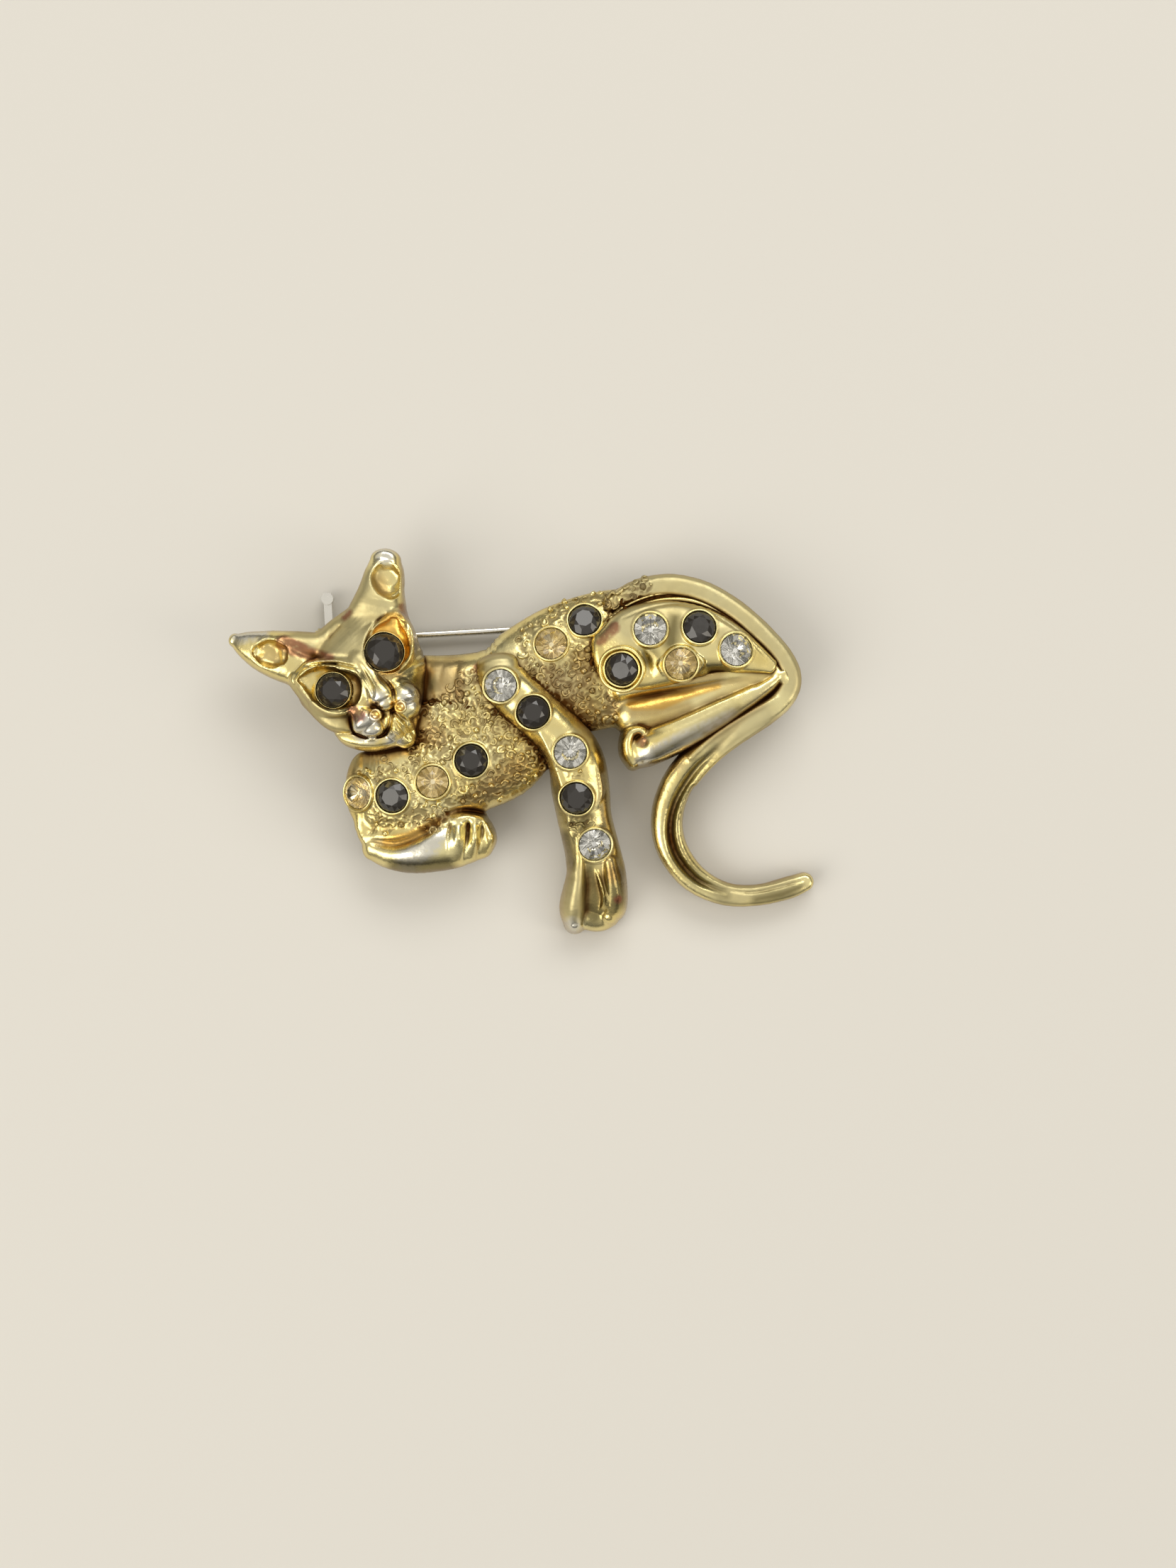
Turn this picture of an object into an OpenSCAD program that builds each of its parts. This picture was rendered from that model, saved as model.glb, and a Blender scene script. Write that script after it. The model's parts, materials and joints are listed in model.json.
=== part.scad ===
// Crouching leopard brooch: one gilt casting set with round paste stones, with a pin back.
// The brooch lies on its back: +Z is out of its face, +X to its tail and +Y to its ears.
// Plan tables are in squares of a pattern grid, which is drawn out to brooch_l.
// Levels are shares: 0 is the back plane, 1 the full relief above it and -1 the table under it.

/* [Casting] */
// Length of the whole brooch, from ear tip to tail tip
brooch_l = 58; // [56:0.5:66]
// Height of the relief above its back plane, at the muzzle
relief_h = 8; // [7:0.1:9.5]
// Depth of the hollows in the back
hollow_d = 1.3; // [0.6:0.1:1.6]
// Radius of the dished hollow in each ear
ear_dish_r = 1.75; // [1.2:0.05:1.9]
// Depth of the dished hollow in each ear
ear_dish_d = 0.75; // [0.3:0.05:0.9]

/* [Stones] */
// Diameter of the round stones on the body
stone_d = 3.1; // [2.6:0.05:3.2]
// Diameter of the stone in the far eye
far_eye_d = 3.3; // [2.8:0.05:3.4]
// Diameter of the stone in the near eye
near_eye_d = 3.7; // [3:0.05:3.9]
// Height of a stone's crown as a share of its diameter
crown_share = 0.2; // [0.14:0.01:0.24]
// Depth of a stone below its girdle as a share of its diameter
pavilion_share = 0.34; // [0.25:0.01:0.36]
// Wall of the raised collar round each stone
collar_wall = 0.34; // [0.2:0.02:0.4]
// Height of the collar's lip above the stone's girdle
collar_lip = 0.16; // [0.08:0.02:0.24]
// Gap between a stone and its cup
stone_gap = 0.05; // [0.03:0.01:0.1]
// Thickness of a stone's girdle
girdle_t = 0.12; // [0.08:0.02:0.2]

/* [Pin back] */
// Diameter of the pin stem's wire
wire_d = 0.7; // [0.6:0.05:0.8]
// Room for cloth between the stem and the back plane
cloth_gap = 1.8; // [1.4:0.1:2.4]
// Running clearance in the hinge and the catch
play = 0.05; // [0.03:0.01:0.08]
// Diameter of the hinge rivet
rivet_d = 0.8; // [0.6:0.05:0.9]
// Thickness of each hinge ear
ear_t = 0.7; // [0.5:0.05:0.9]
// Width of the stem's eye, between the hinge ears
eye_w = 1; // [0.9:0.05:1.4]
// Wall of the stem's eye round the rivet
eye_wall = 0.45; // [0.3:0.05:0.5]
// Length of the stem's point
point_l = 4; // [3:0.5:6]
// Stem beyond the middle of the catch
stem_over = 3.4; // [2.6:0.1:4]
// Wall of the catch's turning barrel
barrel_wall = 0.3; // [0.25:0.05:0.4]
// Wall of the catch's fixed housing
housing_wall = 0.4; // [0.35:0.05:0.6]
// Length of each of the housing's two rings
ring_l = 0.6; // [0.5:0.1:1]
// Width of the block that the rings stand on
block_w = 1.6; // [1.2:0.1:1.9]
// Thickness of the catch's thumb lever
lever_t = 0.8; // [0.6:0.05:1]
// Width of the lever's neck
lever_neck = 0.5; // [0.4:0.05:0.6]
// Diameter of the round cap on the lever
lever_cap_d = 1.2; // [1:0.05:1.4]
// Reach of the lever from the stem's line
lever_l = 4.7; // [4.2:0.1:5]

/* [Hidden] */
barrel_in = wire_d / 2 + 2 * play;
barrel_out = barrel_in + barrel_wall;
housing_in = barrel_out + play;
housing_out = housing_in + housing_wall;
mouth_w = wire_d + 2 * play;
catch_l = 2 * ring_l + lever_t + 4 * play;
stem_z = sqrt(pow(housing_out, 2) - pow(mouth_w / 2, 2));
back_z = stem_z + wire_d / 2 + cloth_gap;
eye_r = rivet_d / 2 + play + eye_wall;
hinge_ear_r = stem_z;
// Depth that soldered pieces and collars reach into the casting
sink = 0.6;
// Distance that a cut or a cup runs on past the metal
past = 3;

// Middle of the brooch's outline, in squares: the part's origin lies under it
MIDDLE = [-0.12, 0.16];

function place(p) = (p - MIDDLE) * square;
function level(s) = s >= 0 ? back_z + s * relief_h : back_z * (1 + s);

// Columns of a form's table: x, y, half width in squares; level of its top, widest line and underside.
X = 0;
Y = 1;
HALF = 2;
TOP = 3;
MID = 4;
LOW = 5;

// The neck and the trunk, from behind the jaw to the rump
TRUNK = [
  [-10.5, 6.2, 2.8, 0.40, 0.12, 0.00],
  [-7.0, 5.7, 3.4, 0.46, 0.12, 0.00],
  [-3.0, 5.3, 4.7, 0.48, 0.12, 0.00],
  [1.0, 6.4, 6.0, 0.47, 0.12, 0.00],
  [5.0, 7.8, 6.6, 0.46, 0.12, 0.00],
  [9.0, 8.7, 6.8, 0.45, 0.12, 0.00],
  [14.0, 8.9, 6.7, 0.42, 0.12, 0.00],
  [18.0, 8.5, 5.9, 0.38, 0.12, 0.00],
  [21.5, 7.5, 4.4, 0.34, 0.12, 0.00],
  [24.2, 6.7, 2.6, 0.30, 0.12, 0.00],
];
// The chest, under the jaw
CHEST = [
  [-16.0, -4.3, 3.7, 0.30, 0.08, -0.04],
  [-14.0, -4.2, 4.8, 0.42, 0.08, -0.04],
  [-11.0, -3.5, 5.2, 0.48, 0.08, -0.04],
  [-8.0, -2.4, 4.9, 0.50, 0.08, -0.04],
  [-5.0, -1.5, 5.0, 0.50, 0.08, -0.04],
  [-2.0, -0.6, 4.6, 0.46, 0.08, -0.04],
  [0.6, 0.6, 3.4, 0.40, 0.08, -0.04],
];
// The rim over the back, round the rump and down the tail
RIM_TAIL = [
  [8.6, 14.0, 1.0, 0.42, 0.12, 0.02],
  [11.4, 15.3, 1.2, 0.46, 0.12, 0.02],
  [14.6, 15.7, 1.25, 0.48, 0.12, 0.02],
  [17.8, 14.9, 1.25, 0.48, 0.12, 0.02],
  [20.8, 13.1, 1.25, 0.48, 0.12, 0.02],
  [23.6, 10.6, 1.25, 0.48, 0.12, 0.02],
  [25.6, 8.2, 1.2, 0.47, 0.12, 0.00],
  [26.1, 6.2, 1.2, 0.46, 0.12, 0.00],
  [25.0, 4.3, 1.3, 0.45, 0.10, -0.05],
  [22.4, 2.6, 1.45, 0.43, 0.08, -0.10],
  [19.6, 0.9, 1.55, 0.40, 0.05, -0.18],
  [17.0, -1.3, 1.6, 0.35, 0.00, -0.28],
  [15.0, -4.0, 1.6, 0.28, -0.12, -0.40],
  [14.1, -7.2, 1.6, 0.20, -0.25, -0.55],
  [14.7, -10.4, 1.55, 0.12, -0.36, -0.68],
  [16.8, -13.2, 1.4, 0.05, -0.46, -0.80],
  [20.0, -14.8, 1.15, 0.00, -0.52, -0.88],
  [23.4, -14.9, 1.05, -0.08, -0.55, -0.92],
  [26.3, -14.2, 1.1, -0.12, -0.58, -0.96],
  [27.9, -13.6, 0.95, -0.20, -0.60, -0.98],
];
// The thigh, a raised panel
THIGH = [
  [7.9, 8.5, 2.9, 0.56, 0.20, 0.10],
  [10.0, 9.1, 4.1, 0.64, 0.20, 0.10],
  [12.5, 9.8, 4.35, 0.67, 0.20, 0.10],
  [15.0, 10.1, 4.15, 0.68, 0.20, 0.10],
  [17.5, 10.0, 3.5, 0.67, 0.20, 0.10],
  [20.0, 9.4, 2.6, 0.64, 0.20, 0.10],
  [22.2, 8.6, 1.6, 0.60, 0.20, 0.10],
  [24.0, 7.7, 0.7, 0.54, 0.20, 0.10],
];
// The shin, folded under the thigh
SHIN = [
  [22.8, 6.2, 0.9, 0.46, 0.15, 0.05],
  [18.0, 4.9, 1.9, 0.46, 0.15, 0.05],
  [14.0, 3.6, 2.3, 0.44, 0.15, 0.05],
  [10.9, 3.0, 2.1, 0.42, 0.15, 0.05],
];
// The hind foot, from the hock to the toes
HIND_FOOT = [
  [24.0, 6.0, 0.8, 0.52, 0.15, 0.02],
  [21.0, 4.1, 1.3, 0.56, 0.15, 0.02],
  [17.6, 2.2, 1.6, 0.57, 0.14, 0.01],
  [14.2, 0.6, 1.75, 0.55, 0.12, 0.00],
  [12.2, -0.2, 1.85, 0.51, 0.10, -0.02],
  [11.1, -0.5, 1.8, 0.45, 0.08, -0.04],
];
// The shoulder band and the straight foreleg, down to its paw
FORELEG = [
  [-2.6, 8.0, 2.3, 0.60, 0.20, 0.10],
  [-2.1, 6.3, 2.6, 0.66, 0.20, 0.10],
  [0.7, 3.6, 2.6, 0.68, 0.18, 0.08],
  [3.2, 1.3, 2.55, 0.67, 0.16, 0.05],
  [5.0, -1.4, 2.8, 0.62, 0.12, 0.00],
  [5.5, -4.4, 2.9, 0.53, 0.06, -0.12],
  [5.9, -7.2, 2.7, 0.43, -0.02, -0.28],
  [6.6, -10.2, 2.75, 0.34, -0.15, -0.48],
  [7.1, -13.0, 2.95, 0.22, -0.32, -0.68],
  [7.0, -15.4, 3.0, 0.12, -0.50, -0.88],
  [6.7, -16.6, 2.6, 0.04, -0.60, -0.98],
];
// The two toes of the straight foreleg
FORE_TOE_1 = [
  [4.9, -11.0, 0.7, 0.34, -0.10, -0.40],
  [5.0, -14.0, 1.15, 0.30, -0.30, -0.70],
  [4.8, -16.6, 1.3, 0.22, -0.50, -0.98],
  [4.7, -18.0, 0.9, 0.10, -0.66, -1.00],
];
FORE_TOE_2 = [
  [8.0, -11.8, 0.8, 0.32, -0.10, -0.40],
  [8.3, -14.2, 1.4, 0.28, -0.30, -0.70],
  [8.2, -16.2, 1.5, 0.18, -0.50, -0.98],
  [8.0, -17.2, 1.1, 0.08, -0.66, -1.00],
];
// The folded forearm and its paw, under the chest
FOLDED_PAW = [
  [-15.2, -9.7, 1.2, 0.16, 0.02, -0.10],
  [-13.3, -10.5, 1.8, 0.24, 0.00, -0.16],
  [-11.0, -10.7, 2.1, 0.30, -0.02, -0.20],
  [-8.8, -10.1, 2.4, 0.33, -0.02, -0.20],
  [-6.6, -9.6, 2.5, 0.24, -0.02, -0.20],
  [-4.8, -9.2, 2.1, 0.16, -0.02, -0.20],
];
// Its three toes
PAW_TOE_1 = [
  [-6.9, -7.4, 0.9, 0.34, 0.14, -0.10],
  [-7.0, -9.4, 1.15, 0.38, 0.14, -0.20],
  [-7.2, -11.4, 0.9, 0.22, 0.04, -0.20],
];
PAW_TOE_2 = [
  [-5.5, -7.4, 0.8, 0.34, 0.14, -0.10],
  [-5.2, -9.3, 1.05, 0.36, 0.14, -0.20],
  [-5.4, -11.1, 0.85, 0.20, 0.04, -0.20],
];
PAW_TOE_3 = [
  [-4.2, -7.5, 0.7, 0.28, 0.14, -0.10],
  [-3.7, -9.1, 0.95, 0.30, 0.12, -0.20],
  [-4.0, -10.6, 0.8, 0.16, 0.02, -0.20],
];
// The skull and face, from the crown between the ears to the chin
SKULL = [
  [-19.0, 10.6, 3.8, 0.58, 0.30, 0.05],
  [-18.2, 9.8, 5.6, 0.76, 0.30, 0.02],
  [-17.0, 8.5, 6.6, 0.86, 0.30, 0.02],
  [-15.8, 7.0, 6.4, 0.91, 0.30, 0.02],
  [-14.6, 5.5, 5.7, 0.90, 0.30, 0.02],
  [-13.8, 4.2, 4.7, 0.83, 0.30, 0.02],
  [-13.1, 3.0, 3.7, 0.73, 0.30, 0.04],
  [-12.5, 2.0, 2.6, 0.60, 0.30, 0.06],
];
FAR_EAR = [
  [-19.6, 8.2, 2.8, 0.62, 0.34, 0.12],
  [-22.8, 8.6, 2.65, 0.73, 0.34, 0.14],
  [-25.4, 9.2, 2.15, 0.68, 0.34, 0.18],
  [-27.4, 9.9, 1.35, 0.61, 0.34, 0.22],
  [-28.4, 10.3, 0.7, 0.54, 0.36, 0.26],
];
NEAR_EAR = [
  [-14.8, 11.2, 3.3, 0.66, 0.34, 0.12],
  [-14.3, 13.5, 2.75, 0.77, 0.34, 0.14],
  [-14.0, 15.5, 2.15, 0.72, 0.34, 0.18],
  [-13.75, 17.0, 1.9, 0.66, 0.34, 0.22],
  [-13.65, 18.2, 1.5, 0.59, 0.36, 0.26],
];
// The jaw's lower edge, showing under the cheek
JAW = [
  [-18.2, 0.9, 0.6, 0.42, 0.24, 0.10],
  [-16.8, 0.4, 0.9, 0.50, 0.26, 0.10],
  [-14.8, 0.4, 1.0, 0.56, 0.28, 0.10],
  [-13.0, 1.1, 1.1, 0.58, 0.30, 0.10],
];
CHIN = [
  [-13.0, 2.7, 1.2, 0.80, 0.60, 0.20],
  [-12.2, 1.5, 1.5, 0.78, 0.56, 0.20],
  [-11.7, 0.8, 1.1, 0.66, 0.50, 0.20],
];
FAR_WHISKER_PAD = [
  [-16.1, 3.3, 1.1, 0.88, 0.72, 0.30],
  [-15.3, 2.4, 1.7, 0.93, 0.72, 0.30],
  [-14.8, 1.8, 1.4, 0.86, 0.66, 0.30],
];
NEAR_WHISKER_PAD = [
  [-12.4, 5.5, 1.2, 0.90, 0.74, 0.30],
  [-11.7, 4.6, 1.6, 0.95, 0.74, 0.30],
  [-11.4, 3.8, 1.3, 0.86, 0.68, 0.30],
];
NOSE = [
  [-16.0, 8.1, 0.85, 0.93, 0.84, 0.40],
  [-14.7, 6.3, 0.95, 0.97, 0.86, 0.40],
  [-13.7, 4.8, 1.25, 1.00, 0.86, 0.40],
  [-13.4, 4.3, 1.0, 0.96, 0.84, 0.40],
];
// The raised rim of each eye
FAR_EYE_RIM = [
  [-22.2, 6.4, 0.7, 0.76, 0.70, 0.40],
  [-20.4, 6.3, 2.4, 0.82, 0.72, 0.40],
  [-18.5, 5.6, 2.9, 0.85, 0.74, 0.40],
  [-16.6, 4.9, 2.0, 0.87, 0.76, 0.40],
];
NEAR_EYE_RIM = [
  [-12.6, 12.5, 0.85, 0.81, 0.72, 0.40],
  [-12.9, 11.0, 2.2, 0.85, 0.74, 0.40],
  [-13.4, 9.2, 2.8, 0.88, 0.76, 0.40],
  [-13.8, 7.6, 2.0, 0.90, 0.78, 0.40],
];
// The almond recess round each eye stone, cut down from above the face
FAR_EYE_RECESS = [
  [-21.8, 6.4, 0.5, 1.20, 1.00, 0.72],
  [-20.3, 6.2, 1.95, 1.20, 1.00, 0.67],
  [-18.5, 5.5, 2.4, 1.20, 1.00, 0.66],
  [-16.9, 5.0, 1.5, 1.20, 1.00, 0.74],
];
NEAR_EYE_RECESS = [
  [-12.6, 12.1, 0.5, 1.20, 1.00, 0.77],
  [-12.9, 10.9, 1.8, 1.20, 1.00, 0.71],
  [-13.4, 9.2, 2.35, 1.20, 1.00, 0.70],
  [-13.8, 7.9, 1.6, 1.20, 1.00, 0.78],
];
// The hollow in the back of the trunk; its top level is set by hollow_d
TRUNK_HOLLOW = [
  [-3.0, 5.2, 1.6, 0, 0, -0.10],
  [2.0, 5.6, 2.8, 0, 0, -0.10],
  [8.0, 6.4, 3.2, 0, 0, -0.10],
  [14.0, 7.0, 3.2, 0, 0, -0.10],
  [19.0, 7.4, 2.2, 0, 0, -0.10],
];
CHEST_HOLLOW = [
  [-13.6, -4.2, 1.9, 0, 0, -0.10],
  [-9.5, -3.2, 2.6, 0, 0, -0.10],
  [-5.0, -1.6, 2.4, 0, 0, -0.10],
];

// Columns of a stone's row: node, x, y in squares, level of its girdle, diameter,
// tilt in degrees and the direction that it leans to, and its colour.
STONES = [
  ["far_eye_stone", -18.5, 5.3, 0.77, far_eye_d, 8, 190, "black"],
  ["near_eye_stone", -13.5, 9.0, 0.81, near_eye_d, 12, 50, "black"],
  ["chest_stone_1", -16.5, -4.7, 0.29, stone_d, 34, 185, "clear"],
  ["chest_stone_2", -13.0, -5.0, 0.44, stone_d, 12, 210, "black"],
  ["chest_stone_3", -9.0, -3.6, 0.50, stone_d, 5, 265, "clear"],
  ["chest_stone_4", -5.2, -1.5, 0.51, stone_d, 3, 300, "black"],
  ["leg_stone_1", -2.3, 5.8, 0.67, stone_d, 8, 200, "clear"],
  ["leg_stone_2", 0.9, 3.2, 0.68, stone_d, 3, 215, "black"],
  ["leg_stone_3", 4.5, -0.7, 0.64, stone_d, 8, 280, "clear"],
  ["leg_stone_4", 5.1, -5.2, 0.51, stone_d, 16, 260, "black"],
  ["leg_stone_5", 6.9, -9.8, 0.35, stone_d, 15, 300, "clear"],
  ["back_stone_1", 2.6, 10.0, 0.44, stone_d, 13, 108, "clear"],
  ["back_stone_2", 5.9, 12.3, 0.40, stone_d, 19, 103, "black"],
  ["thigh_stone_1", 9.5, 7.4, 0.62, stone_d, 16, 230, "black"],
  ["thigh_stone_2", 12.3, 11.3, 0.66, stone_d, 10, 115, "clear"],
  ["thigh_stone_3", 15.3, 7.9, 0.65, stone_d, 16, 285, "clear"],
  ["thigh_stone_4", 17.1, 11.5, 0.65, stone_d, 14, 65, "black"],
  ["thigh_stone_5", 20.7, 9.3, 0.61, stone_d, 13, 28, "clear"],
];
NAME = 0;
GIRDLE = 3;
DIAMETER = 4;
TILT = 5;
LEAN = 6;
COLOUR = 7;

// Columns of an ear dish's row: x, y in squares, level of its middle, tilt and the direction of its lean
EAR_DISHES = [
  [-25.0, 9.1, 0.68, 8, 200],
  [-13.2, 16.6, 0.67, 12, 40],
];

// Ends of the pin stem's line, in squares: the hinge rivet and the middle of the catch
HINGE_AT = [11.0, 12.4];
CATCH_AT = [-19.7, 10.7];

// Squares from the far ear's tip to the tail's tip, and the side of one square
function last_row(t) = t[len(t) - 1];
grid_squares = last_row(RIM_TAIL)[X] + last_row(RIM_TAIL)[HALF]
  - last_row(FAR_EAR)[X] + last_row(FAR_EAR)[HALF];
square = brooch_l / grid_squares;

stem_line = (CATCH_AT - HINGE_AT) * square;
stem_l = norm(stem_line);
stem_turn = atan2(stem_line[1], stem_line[0]);

SIDES = 16;
CAP_ANGLES = [42, 74];
BACK_BOXY = 0.5;

// A smooth curve through a table's rows, with steps rings to each span
function row(t, i) = t[max(0, min(len(t) - 1, i))];
function between(a, b, c, d, f) =
  0.5 * (2 * b + (c - a) * f + (2 * a - 5 * b + 4 * c - d) * f * f + (3 * b - a - 3 * c + d) * f * f * f);
function smooth_rows(t, steps) = concat(
  [for (i = [0:len(t) - 2], k = [0:steps - 1])
    between(row(t, i - 1), t[i], t[i + 1], row(t, i + 2), k / steps)],
  [last_row(t)]);

// The direction in plan at a row, as a unit vector
function heading(t, i) =
  let (d = [for (c = [X, Y]) row(t, i + 1)[c] - row(t, i - 1)[c]]) d / norm(d);

// One ring of a form: an oval with a flattened back about the row's widest line. shrink and ahead
// make the rounded end.
function ring(r, dir, boxy, shrink = 1, ahead = 0) = [
  for (k = [0:SIDES - 1])
    let (
      a = 360 * k / SIDES,
      power = a > 180 ? BACK_BOXY : boxy,
      out = sign(cos(a)) * pow(abs(cos(a)), power) * shrink * r[HALF] * square,
      up = sign(sin(a)) * pow(abs(sin(a)), power) * shrink,
      high = level(r[MID]) + up * (up > 0 ? level(r[TOP]) - level(r[MID]) : level(r[MID]) - level(r[LOW])))
      concat(place([r[X], r[Y]]) + ahead * dir + out * [-dir[1], dir[0]], high)];

// Faces of a closed skin over rings of points, one ring after another, with flat ends
function skin_faces(rings, sides) = concat(
  [for (j = [0:rings - 2], k = [0:sides - 1])
    let (a = j * sides + k, b = j * sides + (k + 1) % sides)
      each [[a, b + sides, b], [a, a + sides, b + sides]]],
  [for (k = [1:sides - 2]) [0, k, k + 1]],
  [for (k = [1:sides - 2], e = [(rings - 1) * sides]) [e, e + k + 1, e + k]]);

// A form lofted through its table, with rounded ends cap times its half width long
module form(table, boxy = 1, cap = [1, 1], steps = 1) {
  t = smooth_rows(table, steps);
  last = len(t) - 1;
  start = heading(t, 0);
  end = heading(t, last);
  rings = concat(
    [for (k = [len(CAP_ANGLES) - 1:-1:0])
      ring(t[0], start, boxy, cos(CAP_ANGLES[k]), -cap[0] * t[0][HALF] * square * sin(CAP_ANGLES[k]))],
    [for (i = [0:last]) ring(t[i], heading(t, i), boxy)],
    [for (a = CAP_ANGLES) ring(t[last], end, boxy, cos(a), cap[1] * t[last][HALF] * square * sin(a))]);
  polyhedron([for (r = rings) each r], skin_faces(len(rings), SIDES), convexity = 6);
}

// Places its children at a stone's seat, with +Z out of the setting
module at_seat(s) {
  translate(concat(place([s[X + 1], s[Y + 1]]), level(s[GIRDLE])))
    rotate([0, 0, s[LEAN]]) rotate([0, s[TILT], 0]) children();
}

function crown_h(s) = s[DIAMETER] * crown_share;
function pavilion_d(s) = s[DIAMETER] * pavilion_share;

// A round stone: a sixteen-sided table, two rows of crown facets, a girdle and a pavilion
FACETS = 16;
TABLE_R = 0.56;
BREAK_R = 0.82;
BREAK_H = 0.62;
CULET_R = 0.16;

module stone(s) {
  colour = s[COLOUR] == "black" ? [0.06, 0.06, 0.07] : [0.86, 0.88, 0.9];
  r = s[DIAMETER] / 2;
  // Radius, height and turn in facets of each ring, from the culet to the table
  levels = [
    [r * CULET_R, -pavilion_d(s), 0], [r, -girdle_t / 2, 0], [r, girdle_t / 2, 0],
    [r * BREAK_R, crown_h(s) * BREAK_H, 0], [r * TABLE_R, crown_h(s), 0.5]];
  points = [for (l = levels, k = [0:FACETS - 1])
    let (a = 360 * (k + l[2]) / FACETS) [l[0] * cos(a), l[0] * sin(a), l[1]]];
  color(colour) at_seat(s) polyhedron(points, skin_faces(len(levels), FACETS), convexity = 2);
}

// The raised collar round a stone, before its cup is bored
module collar(s) {
  r = s[DIAMETER] / 2 + stone_gap + collar_wall;
  depth = pavilion_d(s) + sink;
  at_seat(s) translate([0, 0, -depth]) cylinder(r1 = r, r2 = r - stone_gap, h = depth + collar_lip, $fn = 40);
}

module cup(s) {
  depth = pavilion_d(s) + stone_gap;
  at_seat(s) translate([0, 0, -depth]) cylinder(r = s[DIAMETER] / 2 + stone_gap, h = depth + past, $fn = 40);
}

module body_forms() {
  form(TRUNK, steps = 2);
  form(CHEST, cap = [0.5, 0.6], steps = 2);
  form(RIM_TAIL, boxy = 0.8, steps = 2);
  form(THIGH, boxy = 0.75, cap = [0.45, 0.6], steps = 2);
  form(SHIN, steps = 2);
  form(HIND_FOOT, cap = [0.6, 0.8]);
  form(FORELEG, boxy = 0.85, cap = [0.5, 0.75], steps = 2);
  form(FORE_TOE_1);
  form(FORE_TOE_2);
  form(FOLDED_PAW, cap = [0.8, 0.8]);
  form(PAW_TOE_1);
  form(PAW_TOE_2);
  form(PAW_TOE_3);
}

module head_forms() {
  form(SKULL, cap = [0.35, 0.6], steps = 2);
  form(FAR_EAR, cap = [0.2, 0.9]);
  form(NEAR_EAR, cap = [0.2, 0.75]);
  form(JAW, steps = 2);
  form(CHIN, steps = 2);
  form(FAR_WHISKER_PAD, steps = 2);
  form(NEAR_WHISKER_PAD, steps = 2);
  form(NOSE);
  form(FAR_EYE_RIM, cap = [0.8, 0.5]);
  form(NEAR_EYE_RIM, cap = [0.8, 0.5]);
}

// A hollow's table, with its top at hollow_d above the back plane
function hollow(t) = [for (r = t) [r[X], r[Y], r[HALF], hollow_d / relief_h, r[MID], r[LOW]]];

// The sculpted animal: resize joins its forms in one skin and draws it out to its named length
module sculpture() {
  resize([brooch_l, 0, 0]) difference() {
    union() {
      body_forms();
      head_forms();
    }
    form(FAR_EYE_RECESS, cap = [0.6, 0.6]);
    form(NEAR_EYE_RECESS, cap = [0.6, 0.6]);
    form(hollow(TRUNK_HOLLOW));
    form(hollow(CHEST_HOLLOW));
  }
}

// The dished hollow of an ear: the cap of a sphere that cuts ear_dish_d deep and ear_dish_r wide
module ear_dish(d) {
  ball_r = (pow(ear_dish_r, 2) + pow(ear_dish_d, 2)) / (2 * ear_dish_d);
  translate(concat(place([d[0], d[1]]), level(d[2])))
    rotate([0, 0, d[4]]) rotate([0, d[3], 0])
      translate([0, 0, ball_r - ear_dish_d]) rotate([0, -90, 0]) sphere(r = ball_r, $fn = 48);
}

// Places its children at one end of the stem's line, with +X along the stem to its point
module at_stem(where) {
  translate(concat(place(where), stem_z)) rotate([0, 0, stem_turn]) children();
}

// A cylinder along +X, in the middle at 0
module along_stem(r, l) {
  rotate([0, 90, 0]) cylinder(r = r, h = l, center = true, $fn = 40);
}

// A cylinder along the hinge's axis, in the middle at 0
module across_stem(r, l) {
  rotate([90, 0, 0]) cylinder(r = r, h = l, center = true, $fn = 40);
}

// The hinge's two ears, soldered to the back, with their hole for the rivet
module hinge_bracket() {
  inner = eye_w / 2 + play;
  foot = back_z - stem_z + sink;
  at_stem(HINGE_AT) difference() {
    union() {
      for (side = [-1, 1]) translate([0, side * (inner + ear_t / 2), 0]) {
        across_stem(hinge_ear_r, ear_t);
        translate([-hinge_ear_r, -ear_t / 2, 0]) cube([2 * hinge_ear_r, ear_t, foot]);
      }
    }
    across_stem(rivet_d / 2, 3 * (inner + ear_t));
  }
}

// The catch's housing: two rings with a mouth away from the back, on one block
module catch_housing() {
  foot = back_z - stem_z + sink;
  at_stem(CATCH_AT) {
    for (side = [-1, 1]) translate([side * (catch_l - ring_l) / 2, 0, 0]) difference() {
      union() {
        along_stem(housing_out, ring_l);
        translate([-ring_l / 2, -block_w / 2, 0]) cube([ring_l, block_w, foot]);
      }
      along_stem(housing_in, 2 * ring_l);
      translate([-ring_l, -mouth_w / 2, -2 * housing_out]) cube([2 * ring_l, mouth_w, 2 * housing_out]);
    }
    translate([-catch_l / 2, -block_w / 2, housing_out])
      cube([catch_l, block_w, foot - housing_out]);
  }
}

module casting() {
  color([0.86, 0.7, 0.36]) difference() {
    union() {
      sculpture();
      for (s = STONES) collar(s);
      hinge_bracket();
      catch_housing();
    }
    for (s = STONES) cup(s);
    for (d = EAR_DISHES) ear_dish(d);
  }
}

module hinge_rivet() {
  color([0.8, 0.8, 0.82]) at_stem(HINGE_AT) across_stem(rivet_d / 2, eye_w + 2 * play + 2 * ear_t + 0.2);
}

// The stem: a wire from its eye to its point
module pin_stem() {
  whole = stem_l + stem_over;
  r = wire_d / 2;
  color([0.8, 0.8, 0.82]) at_stem(HINGE_AT) difference() {
    union() {
      across_stem(eye_r, eye_w);
      rotate([0, 90, 0]) rotate_extrude($fn = 40)
        polygon([[0, 0], [r, 0], [r, whole - point_l], [r / 4, whole], [0, whole]]);
    }
    across_stem(rivet_d / 2 + play, 2 * eye_w);
  }
}

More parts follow.
